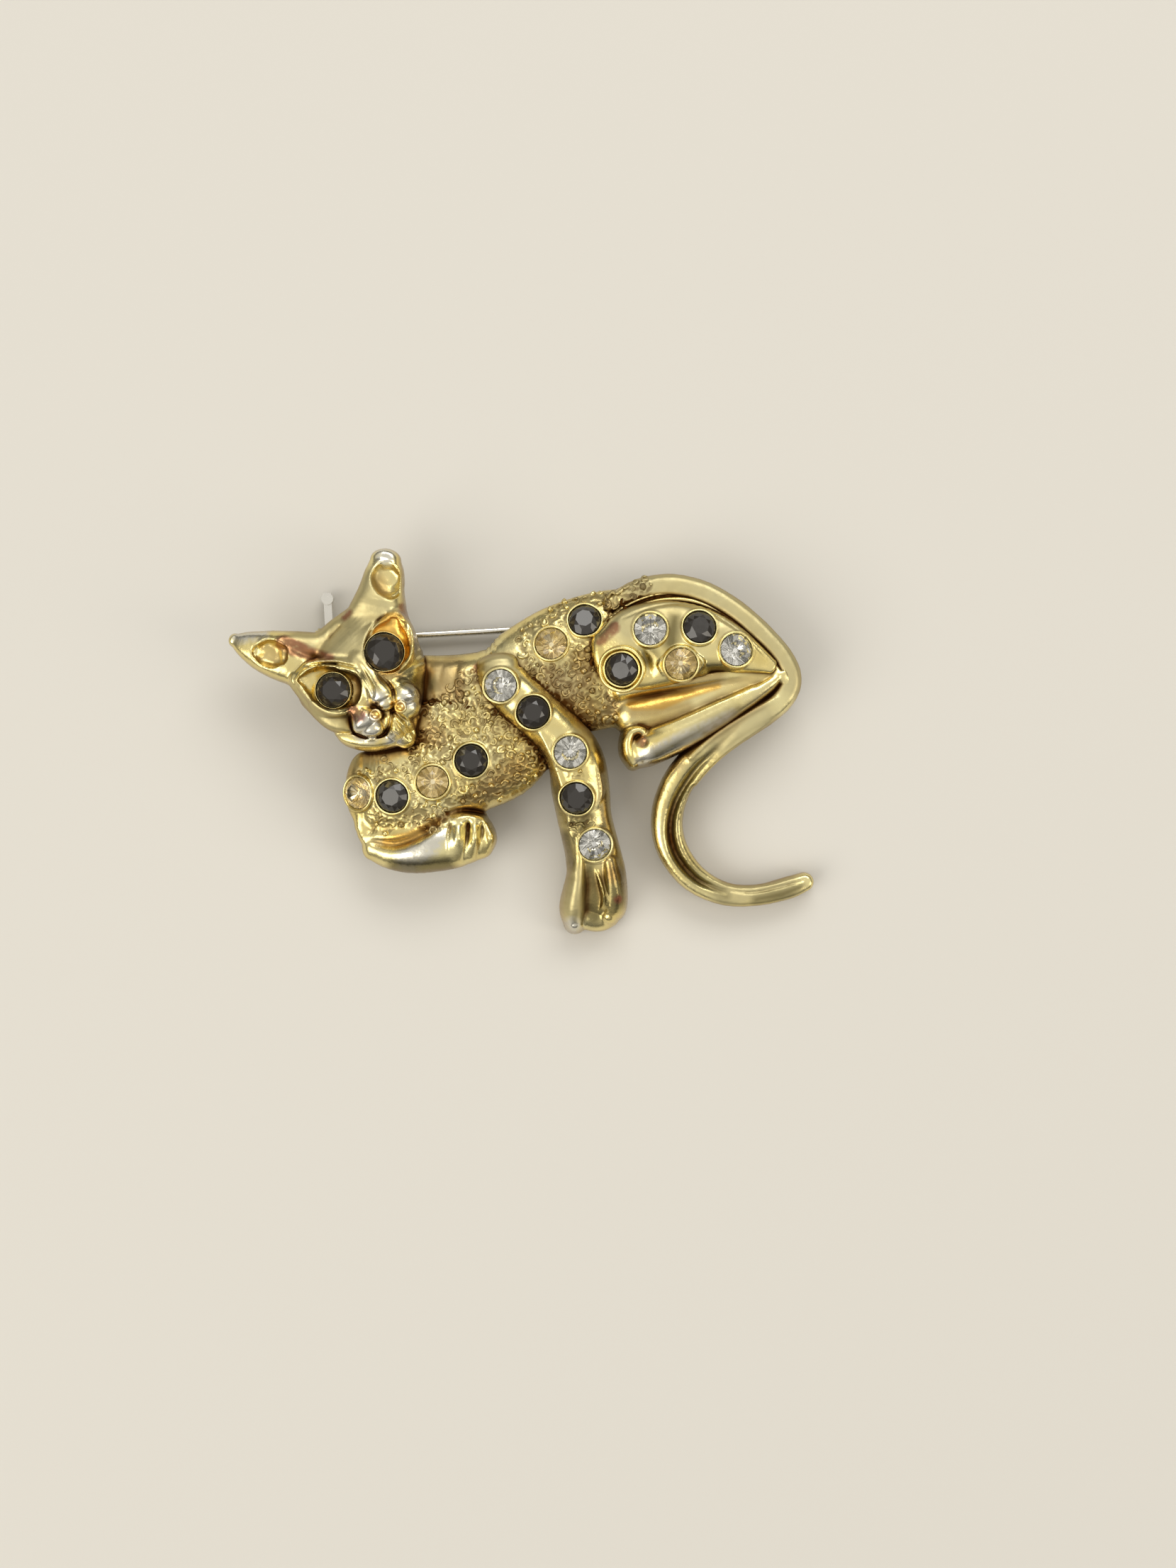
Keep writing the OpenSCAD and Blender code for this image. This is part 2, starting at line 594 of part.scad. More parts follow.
// The catch's turning barrel, with its slot and its thumb lever, standing open
module catch_barrel() {
  color([0.8, 0.8, 0.82]) at_stem(CATCH_AT) difference() {
    union() {
      along_stem(barrel_out, catch_l);
      translate([-lever_t / 2, -lever_l, -lever_neck / 2])
        cube([lever_t, lever_l, lever_neck]);
      translate([0, lever_cap_d / 2 - lever_l, -lever_neck])
        cylinder(d = lever_cap_d, h = 2 * lever_neck, $fn = 40);
    }
    along_stem(barrel_in, 2 * catch_l);
    translate([-catch_l, -mouth_w / 2, -2 * barrel_out]) cube([2 * catch_l, mouth_w, 2 * barrel_out]);
  }
}

casting();
for (s = STONES) stone(s);
hinge_rivet();
pin_stem();
catch_barrel();
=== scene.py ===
"""The crouching leopard brooch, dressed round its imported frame.

The casting is drawn from plan tables as the part's source is, with fuller rows and a few forms more: each
form is a distance field, the fields are melted together as wax would be, and the skin is drawn over them.
Lengths are in millimetres until a mesh is made. Tables are in squares of the pattern grid, and levels are
shares of the relief, as in the source.
"""
import json
import math
from collections import namedtuple
from itertools import product

import bpy
import numpy as np
from mathutils import Matrix, Vector

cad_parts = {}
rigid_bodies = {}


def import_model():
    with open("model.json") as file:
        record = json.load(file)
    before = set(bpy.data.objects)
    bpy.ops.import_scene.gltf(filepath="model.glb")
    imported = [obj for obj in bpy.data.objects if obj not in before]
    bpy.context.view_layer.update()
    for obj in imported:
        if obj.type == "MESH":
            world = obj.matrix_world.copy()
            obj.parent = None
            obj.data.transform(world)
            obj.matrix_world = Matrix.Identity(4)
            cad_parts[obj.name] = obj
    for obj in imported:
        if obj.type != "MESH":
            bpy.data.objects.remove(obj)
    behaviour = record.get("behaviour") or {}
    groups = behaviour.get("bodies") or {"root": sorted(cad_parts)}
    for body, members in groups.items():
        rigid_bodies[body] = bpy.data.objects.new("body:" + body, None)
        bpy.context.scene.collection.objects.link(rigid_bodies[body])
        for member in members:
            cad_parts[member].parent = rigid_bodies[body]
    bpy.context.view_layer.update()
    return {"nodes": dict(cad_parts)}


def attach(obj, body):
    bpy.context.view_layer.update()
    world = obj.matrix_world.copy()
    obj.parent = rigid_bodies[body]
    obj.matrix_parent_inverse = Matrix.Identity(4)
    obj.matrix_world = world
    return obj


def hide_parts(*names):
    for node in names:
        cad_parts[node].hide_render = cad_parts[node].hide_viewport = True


for thing in list(bpy.data.objects):
    bpy.data.objects.remove(thing)
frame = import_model()

MM = 0.001
SEED = 7

# The frame's own sizes, as in the source
SQUARE = 58 / 57.95
MIDDLE = np.array([-0.12, 0.16])
RELIEF = 8.0
BACK_Z = 3.2814
HOLLOW_D = 1.3
STONE_D = 3.1
CROWN = 0.2
PAVILION = 0.34
GIRDLE = 0.12
COLLAR_WALL = 0.28
EYE_WALL = 0.12
COLLAR_LIP = 0.14
STONE_GAP = 0.05
STEM_Z = 1.13137
SINK = 0.6
HINGE_AT = (11.0, 12.4)
CATCH_AT = (-19.7, 10.7)

# The lens of the photograph: it stood this high over the table, above this point of the grid
LENS_Z = 240.0
LENS_XY = np.array([6.23, -3.79])
FLAT_Z = 4.0


def place(xy):
    """Grid squares to millimetres in the part's frame."""
    return (np.asarray(xy, float) - MIDDLE) * SQUARE


def level(share):
    """A level's height: 0 is the back plane, 1 the top of the relief, -1 the table."""
    share = np.asarray(share, float)
    return np.where(share >= 0, BACK_Z + share * RELIEF, BACK_Z * (1 + share))


def seen(rows, z):
    """Rows whose x and y were read off the photograph, moved to where they are at height z."""
    rows = np.array(rows, float)
    rows[:, :2] = LENS_XY + (rows[:, :2] - LENS_XY) * (LENS_Z - z) / (LENS_Z - FLAT_Z)
    return rows


def sections(rows, top=None, middle=None, under=None):
    """A form's sections: x, y, half width, and the levels of its top, of its widest line and of its underside.
    A level that is the same all along is given once, by name, and left out of the rows."""
    full = []
    for x, y, half, *levels in rows:
        left = iter(levels)
        full.append([x, y, half] + [next(left) if same is None else same for same in (top, middle, under)])
    return full


TRUNK = sections([
    (-10.5, 6.2, 2.8, 0.4), (-7, 5.7, 3.4, 0.46), (-3, 5.3, 4.7, 0.48), (1, 6.4, 6, 0.47), (5, 7.8, 6.6, 0.46),
    (9, 8.7, 6.8, 0.45), (14, 8.9, 6.7, 0.42), (18, 8.5, 5.9, 0.38), (21.5, 7.5, 4.4, 0.34),
    (24.2, 6.7, 2.6, 0.3)], middle=0.12, under=0)
CHEST = sections([
    (-16, -4.3, 3.7, 0.3), (-14, -4.2, 4.8, 0.42), (-11, -3.5, 5.2, 0.48), (-8, -2.4, 4.9, 0.5),
    (-5, -1.5, 5, 0.5), (-2, -0.6, 4.6, 0.46), (0.6, 0.6, 3.4, 0.4)], middle=0.08, under=-0.04)
RIM_TAIL = sections([
    (8.6, 14, 1, 0.42, 0.12, 0.02), (11.4, 15.3, 1.2, 0.46, 0.12, 0.02), (14.6, 15.7, 1.25, 0.48, 0.12, 0.02),
    (17.8, 14.9, 1.25, 0.48, 0.12, 0.02), (20.8, 13.1, 1.25, 0.48, 0.12, 0.02),
    (23.6, 10.6, 1.25, 0.48, 0.12, 0.02), (25.6, 8.2, 1.2, 0.47, 0.12, 0), (26.1, 6.2, 1.2, 0.46, 0.12, 0),
    (25, 4.3, 1.3, 0.45, 0.1, -0.05), (22.4, 2.6, 1.45, 0.43, 0.08, -0.1), (19.6, 0.9, 1.55, 0.4, 0.05, -0.18),
    (17, -1.3, 1.6, 0.35, 0, -0.28), (15, -4, 1.6, 0.28, -0.12, -0.4), (14.1, -7.2, 1.6, 0.2, -0.25, -0.55),
    (14.7, -10.4, 1.55, 0.12, -0.36, -0.68), (16.8, -13.2, 1.4, 0.05, -0.46, -0.8),
    (20, -14.8, 1.15, 0, -0.52, -0.88), (23.4, -14.9, 1.05, -0.08, -0.55, -0.92),
    (26.3, -14.2, 1.1, -0.12, -0.58, -0.96), (27.9, -13.6, 0.95, -0.2, -0.6, -0.98)])
THIGH = sections([
    (7.9, 8.5, 2.9, 0.57), (10, 9.1, 4.1, 0.62), (12.5, 9.8, 4.4, 0.64), (15, 10.1, 4.2, 0.65),
    (17.5, 10, 3.6, 0.64), (20, 9.4, 2.75, 0.62), (22.2, 8.6, 1.8, 0.59),
    (24.2, 7.7, 0.9, 0.54)], middle=0.2, under=0.1)
SHIN = sections([
    (23.4, 6.5, 0.9, 0.47), (21, 5.8, 1.6, 0.47), (18, 5, 2.2, 0.46), (14, 3.8, 2.5, 0.45),
    (10.6, 3.2, 2.2, 0.43)], middle=0.15, under=0.05)
HIND_FOOT = sections([
    (24.9, 7, 0.7, 0.49, 0.15, 0.02), (24, 6, 0.95, 0.53, 0.15, 0.02), (21, 4.1, 1.3, 0.56, 0.15, 0.02),
    (17.6, 2.2, 1.6, 0.57, 0.14, 0.01), (14.2, 0.6, 1.75, 0.55, 0.12, 0), (12.2, -0.2, 1.85, 0.51, 0.1, -0.02),
    (11.1, -0.5, 1.8, 0.45, 0.08, -0.04)])
FORELEG = sections([
    (-2.6, 8, 2.3, 0.6, 0.2, 0.1), (-2.1, 6.3, 2.6, 0.66, 0.2, 0.1), (0.7, 3.6, 2.6, 0.68, 0.18, 0.08),
    (3.2, 1.3, 2.55, 0.67, 0.16, 0.05), (5, -1.4, 2.8, 0.62, 0.12, 0), (5.5, -4.4, 2.9, 0.53, 0.06, -0.12),
    (5.9, -7.2, 2.7, 0.43, -0.02, -0.28), (6.6, -10.2, 2.75, 0.34, -0.15, -0.48),
    (7.1, -13, 2.95, 0.22, -0.32, -0.68), (7, -15.4, 3, 0.12, -0.5, -0.88),
    (6.7, -16.6, 2.6, 0.04, -0.6, -0.98)])
FORE_TOES = [
    sections([
        (5.2, -9, 0.8, 0.42, -0.05, -0.3), (5.4, -11.5, 0.95, 0.35, -0.1, -0.4),
        (5.1, -14, 1.3, 0.33, -0.3, -0.7), (4.8, -16.2, 1.45, 0.26, -0.5, -0.98),
        (4.9, -17.7, 1.15, 0.13, -0.66, -1)]),
    sections([
        (8.3, -11.4, 1.1, 0.33, -0.1, -0.4), (8.7, -14, 1.4, 0.28, -0.3, -0.7),
        (8.65, -16, 1.5, 0.19, -0.5, -0.98), (8.3, -16.9, 1.2, 0.11, -0.66, -1)])]
FOLDED_PAW = sections([
    (-15, -9.9, 1.5, 0.26, -0.1), (-13.2, -10.3, 2, 0.34, -0.16), (-11, -10.3, 2.4, 0.4, -0.2),
    (-8.8, -9.7, 2.8, 0.42, -0.2), (-6.6, -9.2, 2.8, 0.38, -0.2), (-4.9, -9, 2.35, 0.33, -0.2)], middle=0.06)
PAW_TOES = [
    sections([
        (-6.5, -7.3, 0.62, 0.38, 0.2, -0.1), (-6.6, -9.2, 0.75, 0.45, 0.2, -0.1),
        (-7, -11.1, 0.6, 0.28, 0.1, -0.2)]),
    sections([
        (-5, -7.2, 0.5, 0.36, 0.2, -0.1), (-4.95, -9.1, 0.62, 0.42, 0.2, -0.1),
        (-5.4, -10.9, 0.5, 0.26, 0.1, -0.2)]),
    sections([
        (-3.8, -8, 0.45, 0.3, 0.15, -0.1), (-3.4, -9.2, 0.6, 0.34, 0.15, -0.1),
        (-3.9, -10.4, 0.45, 0.2, 0.05, -0.2)])]
SKULL = sections([
    (-19, 10.6, 3.8, 0.58, 0.05), (-18.2, 9.8, 5.6, 0.76, 0.02), (-17, 8.5, 6.6, 0.86, 0.02),
    (-15.8, 7, 6.4, 0.91, 0.02), (-14.6, 5.5, 5.7, 0.9, 0.02), (-13.8, 4.2, 4.7, 0.83, 0.02),
    (-13.1, 3, 3.7, 0.73, 0.04), (-12.5, 2, 2.6, 0.6, 0.06)], middle=0.3)
FAR_EAR = sections([
    (-19.6, 8.2, 2.8, 0.62, 0.34, 0.12), (-22.8, 8.6, 2.65, 0.73, 0.34, 0.14),
    (-25.4, 9.2, 2.15, 0.68, 0.34, 0.18), (-27.4, 9.9, 1.35, 0.61, 0.34, 0.22),
    (-28.4, 10.3, 0.7, 0.54, 0.36, 0.26)])
NEAR_EAR = sections([
    (-14.8, 11.2, 3.3, 0.66, 0.34, 0.12), (-14.3, 13.5, 2.75, 0.77, 0.34, 0.14),
    (-14, 15.5, 2.15, 0.72, 0.34, 0.18), (-13.75, 17, 1.9, 0.66, 0.34, 0.22),
    (-13.65, 18.2, 1.5, 0.59, 0.36, 0.26)])
CHEEK = sections([
    (-22.3, 6.4, 0.9, 0.68, 0.12), (-20.9, 5, 1.2, 0.71, 0.1), (-19.6, 3.75, 1.45, 0.73, 0.1),
    (-18.4, 2.9, 1.6, 0.74, 0.1), (-17.3, 2.5, 1.5, 0.73, 0.1), (-16.3, 2.2, 1.4, 0.66, 0.1)], middle=0.34)
JAW = sections([
    (-18.2, 1.15, 0.4, 0.62, 0.28), (-17.5, 0.8, 0.8, 0.66, 0.28), (-16.4, 0.6, 1.05, 0.68, 0.3),
    (-14.8, 0.5, 1.1, 0.69, 0.32), (-13, 0.9, 1.15, 0.67, 0.32)], under=0.1)
CHIN = sections([
    (-13, 2.7, 1.2, 0.8, 0.6), (-12.2, 1.5, 1.55, 0.78, 0.56), (-11.7, 0.8, 1.1, 0.66, 0.5)], under=0.2)
FAR_PAD = sections([
    (-16.1, 3.3, 1.1, 0.88, 0.72), (-15.3, 2.4, 1.7, 0.93, 0.72), (-14.8, 1.8, 1.4, 0.86, 0.66)], under=0.3)
NEAR_PAD = sections([
    (-12.4, 5.5, 1.2, 0.9, 0.74), (-11.7, 4.6, 1.6, 0.95, 0.74), (-11.4, 3.8, 1.3, 0.86, 0.68)], under=0.3)
NOSE = sections([
    (-16, 8.1, 0.85, 0.93, 0.84), (-14.7, 6.3, 0.95, 0.97, 0.86), (-13.7, 4.8, 1.25, 1, 0.86),
    (-13.4, 4.3, 1, 0.96, 0.84)], under=0.4)
FAR_EYE_RIM = sections([
    (-22.2, 6.4, 0.7, 0.76, 0.7), (-20.4, 6.3, 2.4, 0.82, 0.72), (-18.5, 5.6, 2.9, 0.85, 0.74),
    (-16.6, 4.9, 2, 0.87, 0.76)], under=0.4)
NEAR_EYE_RIM = sections([
    (-12.6, 12.5, 0.85, 0.81, 0.72), (-12.9, 11, 2.2, 0.85, 0.74), (-13.4, 9.2, 2.8, 0.88, 0.76),
    (-13.8, 7.6, 2, 0.9, 0.78)], under=0.4)
FAR_EYE_RECESS = sections([
    (-21.6, 6.3, 0.6, 0.73), (-20.3, 6.1, 1.9, 0.68), (-18.6, 5.5, 2.35, 0.66),
    (-16.6, 5.3, 1.6, 0.72)], top=1.2, middle=1)
NEAR_EYE_RECESS = sections([
    (-12.6, 12.1, 0.55, 0.76), (-12.9, 10.9, 1.8, 0.72), (-13.2, 9.3, 2.3, 0.7),
    (-13.5, 8, 1.7, 0.77)], top=1.2, middle=1)
GUTTER = sections([
    (7.2, 10.9, 0.5, 0.46), (9.6, 13.1, 0.6, 0.47), (12.4, 14.3, 0.6, 0.48), (15.4, 14.5, 0.6, 0.48),
    (18.4, 13.8, 0.6, 0.48), (21, 12.2, 0.6, 0.48), (23.4, 9.9, 0.6, 0.48), (25.1, 7.4, 0.6, 0.47),
    (25.7, 6.3, 0.7, 0.46)], middle=0.2, under=0.05)
HAM = sections([
    (9.4, 5.3, 1, 0.49), (13, 5.9, 1, 0.5), (17, 6.5, 1, 0.5), (21, 7.1, 0.9, 0.49),
    (25.2, 6.9, 0.8, 0.47)], middle=0.2, under=0.05)
PAW_BAND = sections([
    (-16.2, -8.1, 0.7, 0.2), (-15.3, -9.2, 1, 0.25), (-13, -9.4, 1.2, 0.34), (-10.8, -8.8, 1.2, 0.38),
    (-8.4, -7.5, 1.1, 0.4), (-6.3, -7, 1.05, 0.4), (-4.5, -7.4, 0.8, 0.34)], middle=0.05, under=-0.1)
THROAT = sections([
    (-10.4, 2.6, 2, 0.4), (-7.6, 2.6, 2.7, 0.44), (-4.4, 2.8, 2.9, 0.46),
    (-1.6, 2.4, 2.3, 0.45)], middle=0.12, under=0)
KNEE_WEB = sections([
    (17, 0.5, 0.5, 0.2), (18.6, 1.5, 0.8, 0.28), (21.6, 3.3, 0.9, 0.32), (23.4, 4.6, 0.9, 0.35),
    (24.9, 5.9, 0.9, 0.4)], middle=0.05, under=0)
HIND_TOE = sections([
    (11.9, 1, 0.55, 0.44, 0.15, 0.02), (11.2, 1.5, 0.75, 0.47, 0.15, 0.02), (10.4, 1.2, 0.85, 0.49, 0.15, 0.02),
    (10.1, 0.3, 0.9, 0.49, 0.12, 0), (10.2, -0.8, 0.9, 0.46, 0.1, -0.02), (10.7, -1.7, 0.8, 0.4, 0.08, -0.04)])
TRUNK_HOLLOW = sections([
    (-3, 5.2, 1.6), (2, 5.6, 2.8), (8, 6.4, 3.2), (14, 7, 3.2),
    (19, 7.4, 2.2)], top=HOLLOW_D / RELIEF, middle=0, under=-0.1)
CHEST_HOLLOW = sections([
    (-13.6, -4.2, 1.9), (-9.5, -3.2, 2.6), (-5, -1.6, 2.4)], top=HOLLOW_D / RELIEF, middle=0, under=-0.1)
FAR_EAR_CUP = sections([
    (-26.1, 9.1, 0.85, 0.6), (-25.4, 9, 1.35, 0.54), (-24.4, 8.85, 1.45, 0.53),
    (-23.5, 8.75, 1.05, 0.58)], top=1.2, middle=1)
NEAR_EAR_CUP = sections([
    (-13.5, 17.7, 0.95, 0.59), (-13.45, 17, 1.45, 0.53), (-13.35, 16.2, 1.6, 0.52), (-13, 15.4, 1.4, 0.54),
    (-12.6, 14.8, 0.95, 0.6)], top=1.2, middle=1)

# Stones: their place and the level of the girdle, the tilt in degrees and the direction they lean to
Stone = namedtuple("Stone", "node x y level diameter tilt lean finish")
STONES = [Stone(*row) for row in [
    ("far_eye_stone", -18.5, 5.3, 0.77, 3.3, 8, 190, "jet"),
    ("near_eye_stone", -13.5, 9.0, 0.81, 3.7, 12, 50, "jet"),
    ("chest_stone_1", -16.5, -4.7, 0.29, STONE_D, 34, 185, "aged"),
    ("chest_stone_2", -13.0, -5.0, 0.44, STONE_D, 12, 210, "jet"),
    ("chest_stone_3", -9.0, -3.6, 0.50, STONE_D, 5, 265, "aged"),
    ("chest_stone_4", -5.2, -1.5, 0.51, STONE_D, 3, 300, "jet"),
    ("leg_stone_1", -2.3, 5.8, 0.67, STONE_D, 8, 200, "bright"),
    ("leg_stone_2", 0.9, 3.2, 0.68, STONE_D, 3, 215, "jet"),
    ("leg_stone_3", 4.5, -0.7, 0.64, STONE_D, 8, 280, "bright"),
    ("leg_stone_4", 5.1, -5.2, 0.51, STONE_D, 16, 260, "jet"),
    ("leg_stone_5", 6.9, -9.8, 0.35, STONE_D, 15, 300, "bright"),
    ("back_stone_1", 2.6, 10.0, 0.44, STONE_D, 13, 108, "aged"),
    ("back_stone_2", 5.9, 12.3, 0.40, STONE_D, 19, 103, "jet"),
    ("thigh_stone_1", 9.5, 7.4, 0.62, STONE_D, 16, 230, "jet"),
    ("thigh_stone_2", 12.3, 11.3, 0.66, STONE_D, 10, 115, "bright"),
    ("thigh_stone_3", 15.3, 7.9, 0.65, STONE_D, 16, 285, "aged"),
    ("thigh_stone_4", 17.1, 11.5, 0.65, STONE_D, 14, 65, "jet"),
    ("thigh_stone_5", 20.7, 9.3, 0.61, STONE_D, 13, 28, "bright")]]

# Modelling strokes as seen in the photograph: x, y, half width, depth; a ridge's depth is negative
HEAD_STROKES = [
    [(-21.9, 8.2, 0.14, -0.1), (-20.4, 8.42, 0.18, -0.3), (-18.8, 8.45, 0.18, -0.3), (-17.1, 8.1, 0.16, -0.12)],
    [(-22, 7.95, 0.1, 0.05), (-20.2, 8.19, 0.12, 0.22), (-18.4, 8.13, 0.12, 0.22), (-16.6, 7.7, 0.1, 0.05)],
    [(-24.2, 10.5, 0.3, 0.05), (-22.6, 9.55, 0.5, 0.35), (-20.8, 8.95, 0.35, 0.3), (-17.6, 8.8, 0.2, 0.1)],
    [(-22.8, 6.5, 0.16, -0.2), (-22.1, 5.5, 0.26, -0.42), (-21.2, 4.4, 0.28, -0.5), (-20.2, 3.6, 0.28, -0.5),
     (-19, 3.15, 0.28, -0.5), (-17.8, 3.3, 0.24, -0.35), (-17.3, 3.8, 0.14, -0.1)],
    [(-22.8, 6.6, 0.16, -0.2), (-21.9, 7.45, 0.2, -0.4), (-20.8, 7.85, 0.2, -0.4), (-19.4, 7.9, 0.2, -0.4),
     (-18, 7.65, 0.2, -0.4), (-16.8, 7.3, 0.2, -0.3), (-16.2, 6.7, 0.12, -0.1)],
    [(-15.95, 9.8, 0.1, 0.1), (-15.5, 11.2, 0.14, 0.22), (-14.8, 12.4, 0.14, 0.22), (-13.8, 13.15, 0.1, 0.1)],
    [(-13, 13.4, 0.12, -0.1), (-12.2, 12.9, 0.17, -0.25), (-11.5, 12, 0.18, -0.3), (-11.2, 10.8, 0.18, -0.3),
     (-11.2, 9.6, 0.18, -0.3), (-11.6, 8.4, 0.16, -0.25), (-12.4, 7.5, 0.14, -0.15)],
    [(-16.4, 8.1, 0.15, 0.05), (-15.8, 7, 0.22, 0.3), (-15.1, 5.7, 0.2, 0.3), (-15, 4.9, 0.15, 0.1)],
    [(-14.9, 7.6, 0.15, 0.05), (-14.1, 6.7, 0.2, 0.2), (-13.2, 5.7, 0.2, 0.26), (-12.9, 4.6, 0.15, 0.14)],
    [(-17.6, 3.9, 0.13, 0.1), (-17.4, 2.6, 0.14, 0.2), (-17.2, 1.5, 0.13, 0.2), (-16.4, 0.95, 0.14, 0.25),
     (-15, 0.85, 0.15, 0.3), (-14, 1.3, 0.16, 0.3), (-13.5, 2.2, 0.18, 0.35), (-13.3, 3.4, 0.16, 0.2)],
    [(-13.1, 3.3, 0.12, -0.05), (-12.6, 2.6, 0.17, -0.28), (-12, 1.9, 0.15, -0.1)],
    [(-12, 3.1, 0.12, -0.05), (-11.4, 2.1, 0.18, -0.28), (-10.9, 1, 0.15, -0.1)],
    [(-13.3, 2, 0.12, -0.05), (-12.9, 1.4, 0.18, -0.28), (-12.3, 0.7, 0.16, -0.1)],
    [(-12.9, 2.5, 0.1, 0.1), (-12.2, 1.5, 0.14, 0.26), (-11.6, 0.6, 0.1, 0.1)],
    [(-10.9, 3, 0.12, 0.1), (-10.75, 1.9, 0.16, 0.26), (-10.9, 0.8, 0.12, 0.1)]]
CHEST_STROKES = [
    [(-15.6, -9.5, 0.3, 0.15), (-14.6, -9.6, 0.5, 0.45), (-13, -9.75, 0.65, 0.6), (-11.5, -9.3, 0.65, 0.6),
     (-10, -8.5, 0.55, 0.5), (-8.5, -7.5, 0.5, 0.45), (-7.3, -6.8, 0.45, 0.4), (-5.8, -6.5, 0.4, 0.35),
     (-4.2, -6.8, 0.3, 0.2)],
    [(-17.2, -1.1, 0.3, 0.02), (-15.6, -1.6, 0.4, 0.06), (-13.6, -1.2, 0.3, 0.02)]]
PAW_STROKES = [
    [(-7.3, -7.2, 0.1, 0.05), (-7.6, -8.8, 0.14, 0.16), (-7.7, -10.6, 0.1, 0.05)],
    [(-5.6, -7, 0.1, 0.05), (-5.75, -9.2, 0.15, 0.2), (-6.2, -11.5, 0.12, 0.08)],
    [(-4.3, -7.3, 0.1, 0.05), (-4.3, -9, 0.13, 0.16), (-4.8, -11, 0.1, 0.06)]]
NECK_STROKES = [
    [(-9.4, 8.4, 0.2, 0.03), (-9.7, 6.6, 0.35, 0.08), (-9.1, 4.6, 0.2, 0.03)],
    [(-8, 8.5, 0.2, 0.02), (-8.5, 6.9, 0.25, 0.05), (-8.2, 5.2, 0.2, 0.02)],
    [(-6.6, 8.3, 0.2, 0.03), (-7.1, 6.5, 0.35, 0.07), (-6.7, 4.6, 0.2, 0.03)]]
LEG_STROKES = [
    [(1.4, 1.3, 0.3, -0.1), (2.1, 0, 0.42, -0.4), (2.9, -2, 0.42, -0.42), (3.6, -4, 0.35, -0.3),
     (4.2, -7, 0.35, -0.2), (4.6, -10, 0.35, -0.15), (4.8, -12.5, 0.4, -0.1)],
    [(7, -12.2, 0.14, -0.05), (7.5, -13.8, 0.2, -0.5), (7.8, -15.3, 0.2, -0.5), (7.45, -16.7, 0.16, -0.1)],
    [(7, -1.5, 0.16, -0.05), (7.4, -3, 0.2, -0.24), (7.6, -4.6, 0.2, -0.24), (7.2, -6, 0.16, -0.05)]]
HAUNCH_STROKES = [
    [(10.8, 1.6, 0.3, -0.05), (14, 2.1, 0.4, -0.3), (18, 3.8, 0.4, -0.3), (22.4, 5.8, 0.3, -0.1)],
    [(13, -0.6, 0.5, 0.1), (16.2, 0.9, 0.7, 0.22), (19.8, 2.9, 0.6, 0.2), (22.6, 4.7, 0.4, 0.1)],
    [(9.6, 4.8, 0.4, 0.02), (12, 4.9, 0.8, 0.12), (15.5, 5.6, 0.8, 0.12), (19, 6.4, 0.5, 0.06)]]
GUTTER_STROKES = [
    [(7, 10.5, 0.14, 0.1), (8.9, 12.7, 0.16, 0.4), (11, 14.1, 0.16, 0.45), (13.5, 14.85, 0.16, 0.45),
     (16.5, 14.8, 0.16, 0.45), (19.2, 13.6, 0.16, 0.45), (21.6, 11.9, 0.16, 0.45), (23.9, 9.7, 0.16, 0.45),
     (25.5, 7.6, 0.14, 0.3)]]
THIGH_STROKES = [
    [(11.5, 9.6, 0.3, 0.1), (12, 8.5, 0.65, 0.45), (12.3, 7.3, 0.5, 0.3)],
    [(17.6, 7.6, 0.3, 0.1), (18.9, 7.5, 0.5, 0.4), (21.4, 7.7, 0.2, 0.1)],
    [(13.7, 8.9, 0.14, -0.1), (13.3, 8, 0.18, -0.35), (13.7, 7.1, 0.14, -0.1)],
    [(17, 9.1, 0.14, -0.1), (17.7, 8.3, 0.18, -0.35), (17.3, 7.3, 0.14, -0.1)],
    [(9.7, 12.7, 0.12, 0.05), (12.4, 13.75, 0.14, 0.1), (15.5, 14.1, 0.14, 0.1), (18.6, 13.1, 0.14, 0.1),
     (21.5, 11.2, 0.12, 0.1), (24.3, 8.5, 0.1, 0.05)]]
TAIL_STROKES = [
    [(21, 1.7, 0.3, 0.05), (18.6, -0.6, 0.35, 0.3), (16.5, -2.8, 0.42, 0.7), (14.9, -5.6, 0.42, 0.85),
     (14.4, -8.4, 0.42, 0.85), (15.1, -11, 0.42, 0.8), (17.1, -13.3, 0.38, 0.6), (20, -14.6, 0.3, 0.15)],
    [(24.8, 4.6, 0.25, -0.1), (21.6, 2.9, 0.28, -0.22), (18.6, 0.9, 0.3, -0.25), (16.3, -1.2, 0.3, -0.25)],
    [(24.2, 2.2, 0.25, -0.1), (21.4, 0.4, 0.28, -0.22), (18.9, -1.6, 0.3, -0.25), (17, -3.8, 0.3, -0.2)],
    [(19.6, -14.3, 0.12, 0.05), (22.5, -14.6, 0.15, 0.2), (25.5, -14, 0.15, 0.22), (27.8, -13.4, 0.12, 0.1)]]


def smooth_rows(rows, steps):
    """The rows of a table with smooth ones between them, on the source's own curve."""
    t = np.array(rows, float)
    ends = np.vstack([t[:1], t, t[-1:]])
    out = []
    for i in range(len(t) - 1):
        a, b, c, d = ends[i:i + 4]
        for f in np.arange(steps) / steps:
            out.append(0.5 * (2 * b + (c - a) * f + (2 * a - 5 * b + 4 * c - d) * f ** 2
                              + (3 * b - a - 3 * c + d) * f ** 3))
    out.append(t[-1])
    return np.array(out)


# What a field says far off the metal, and how square every form's underside is
FAR = 5.0
UNDER_BOXY = 0.5


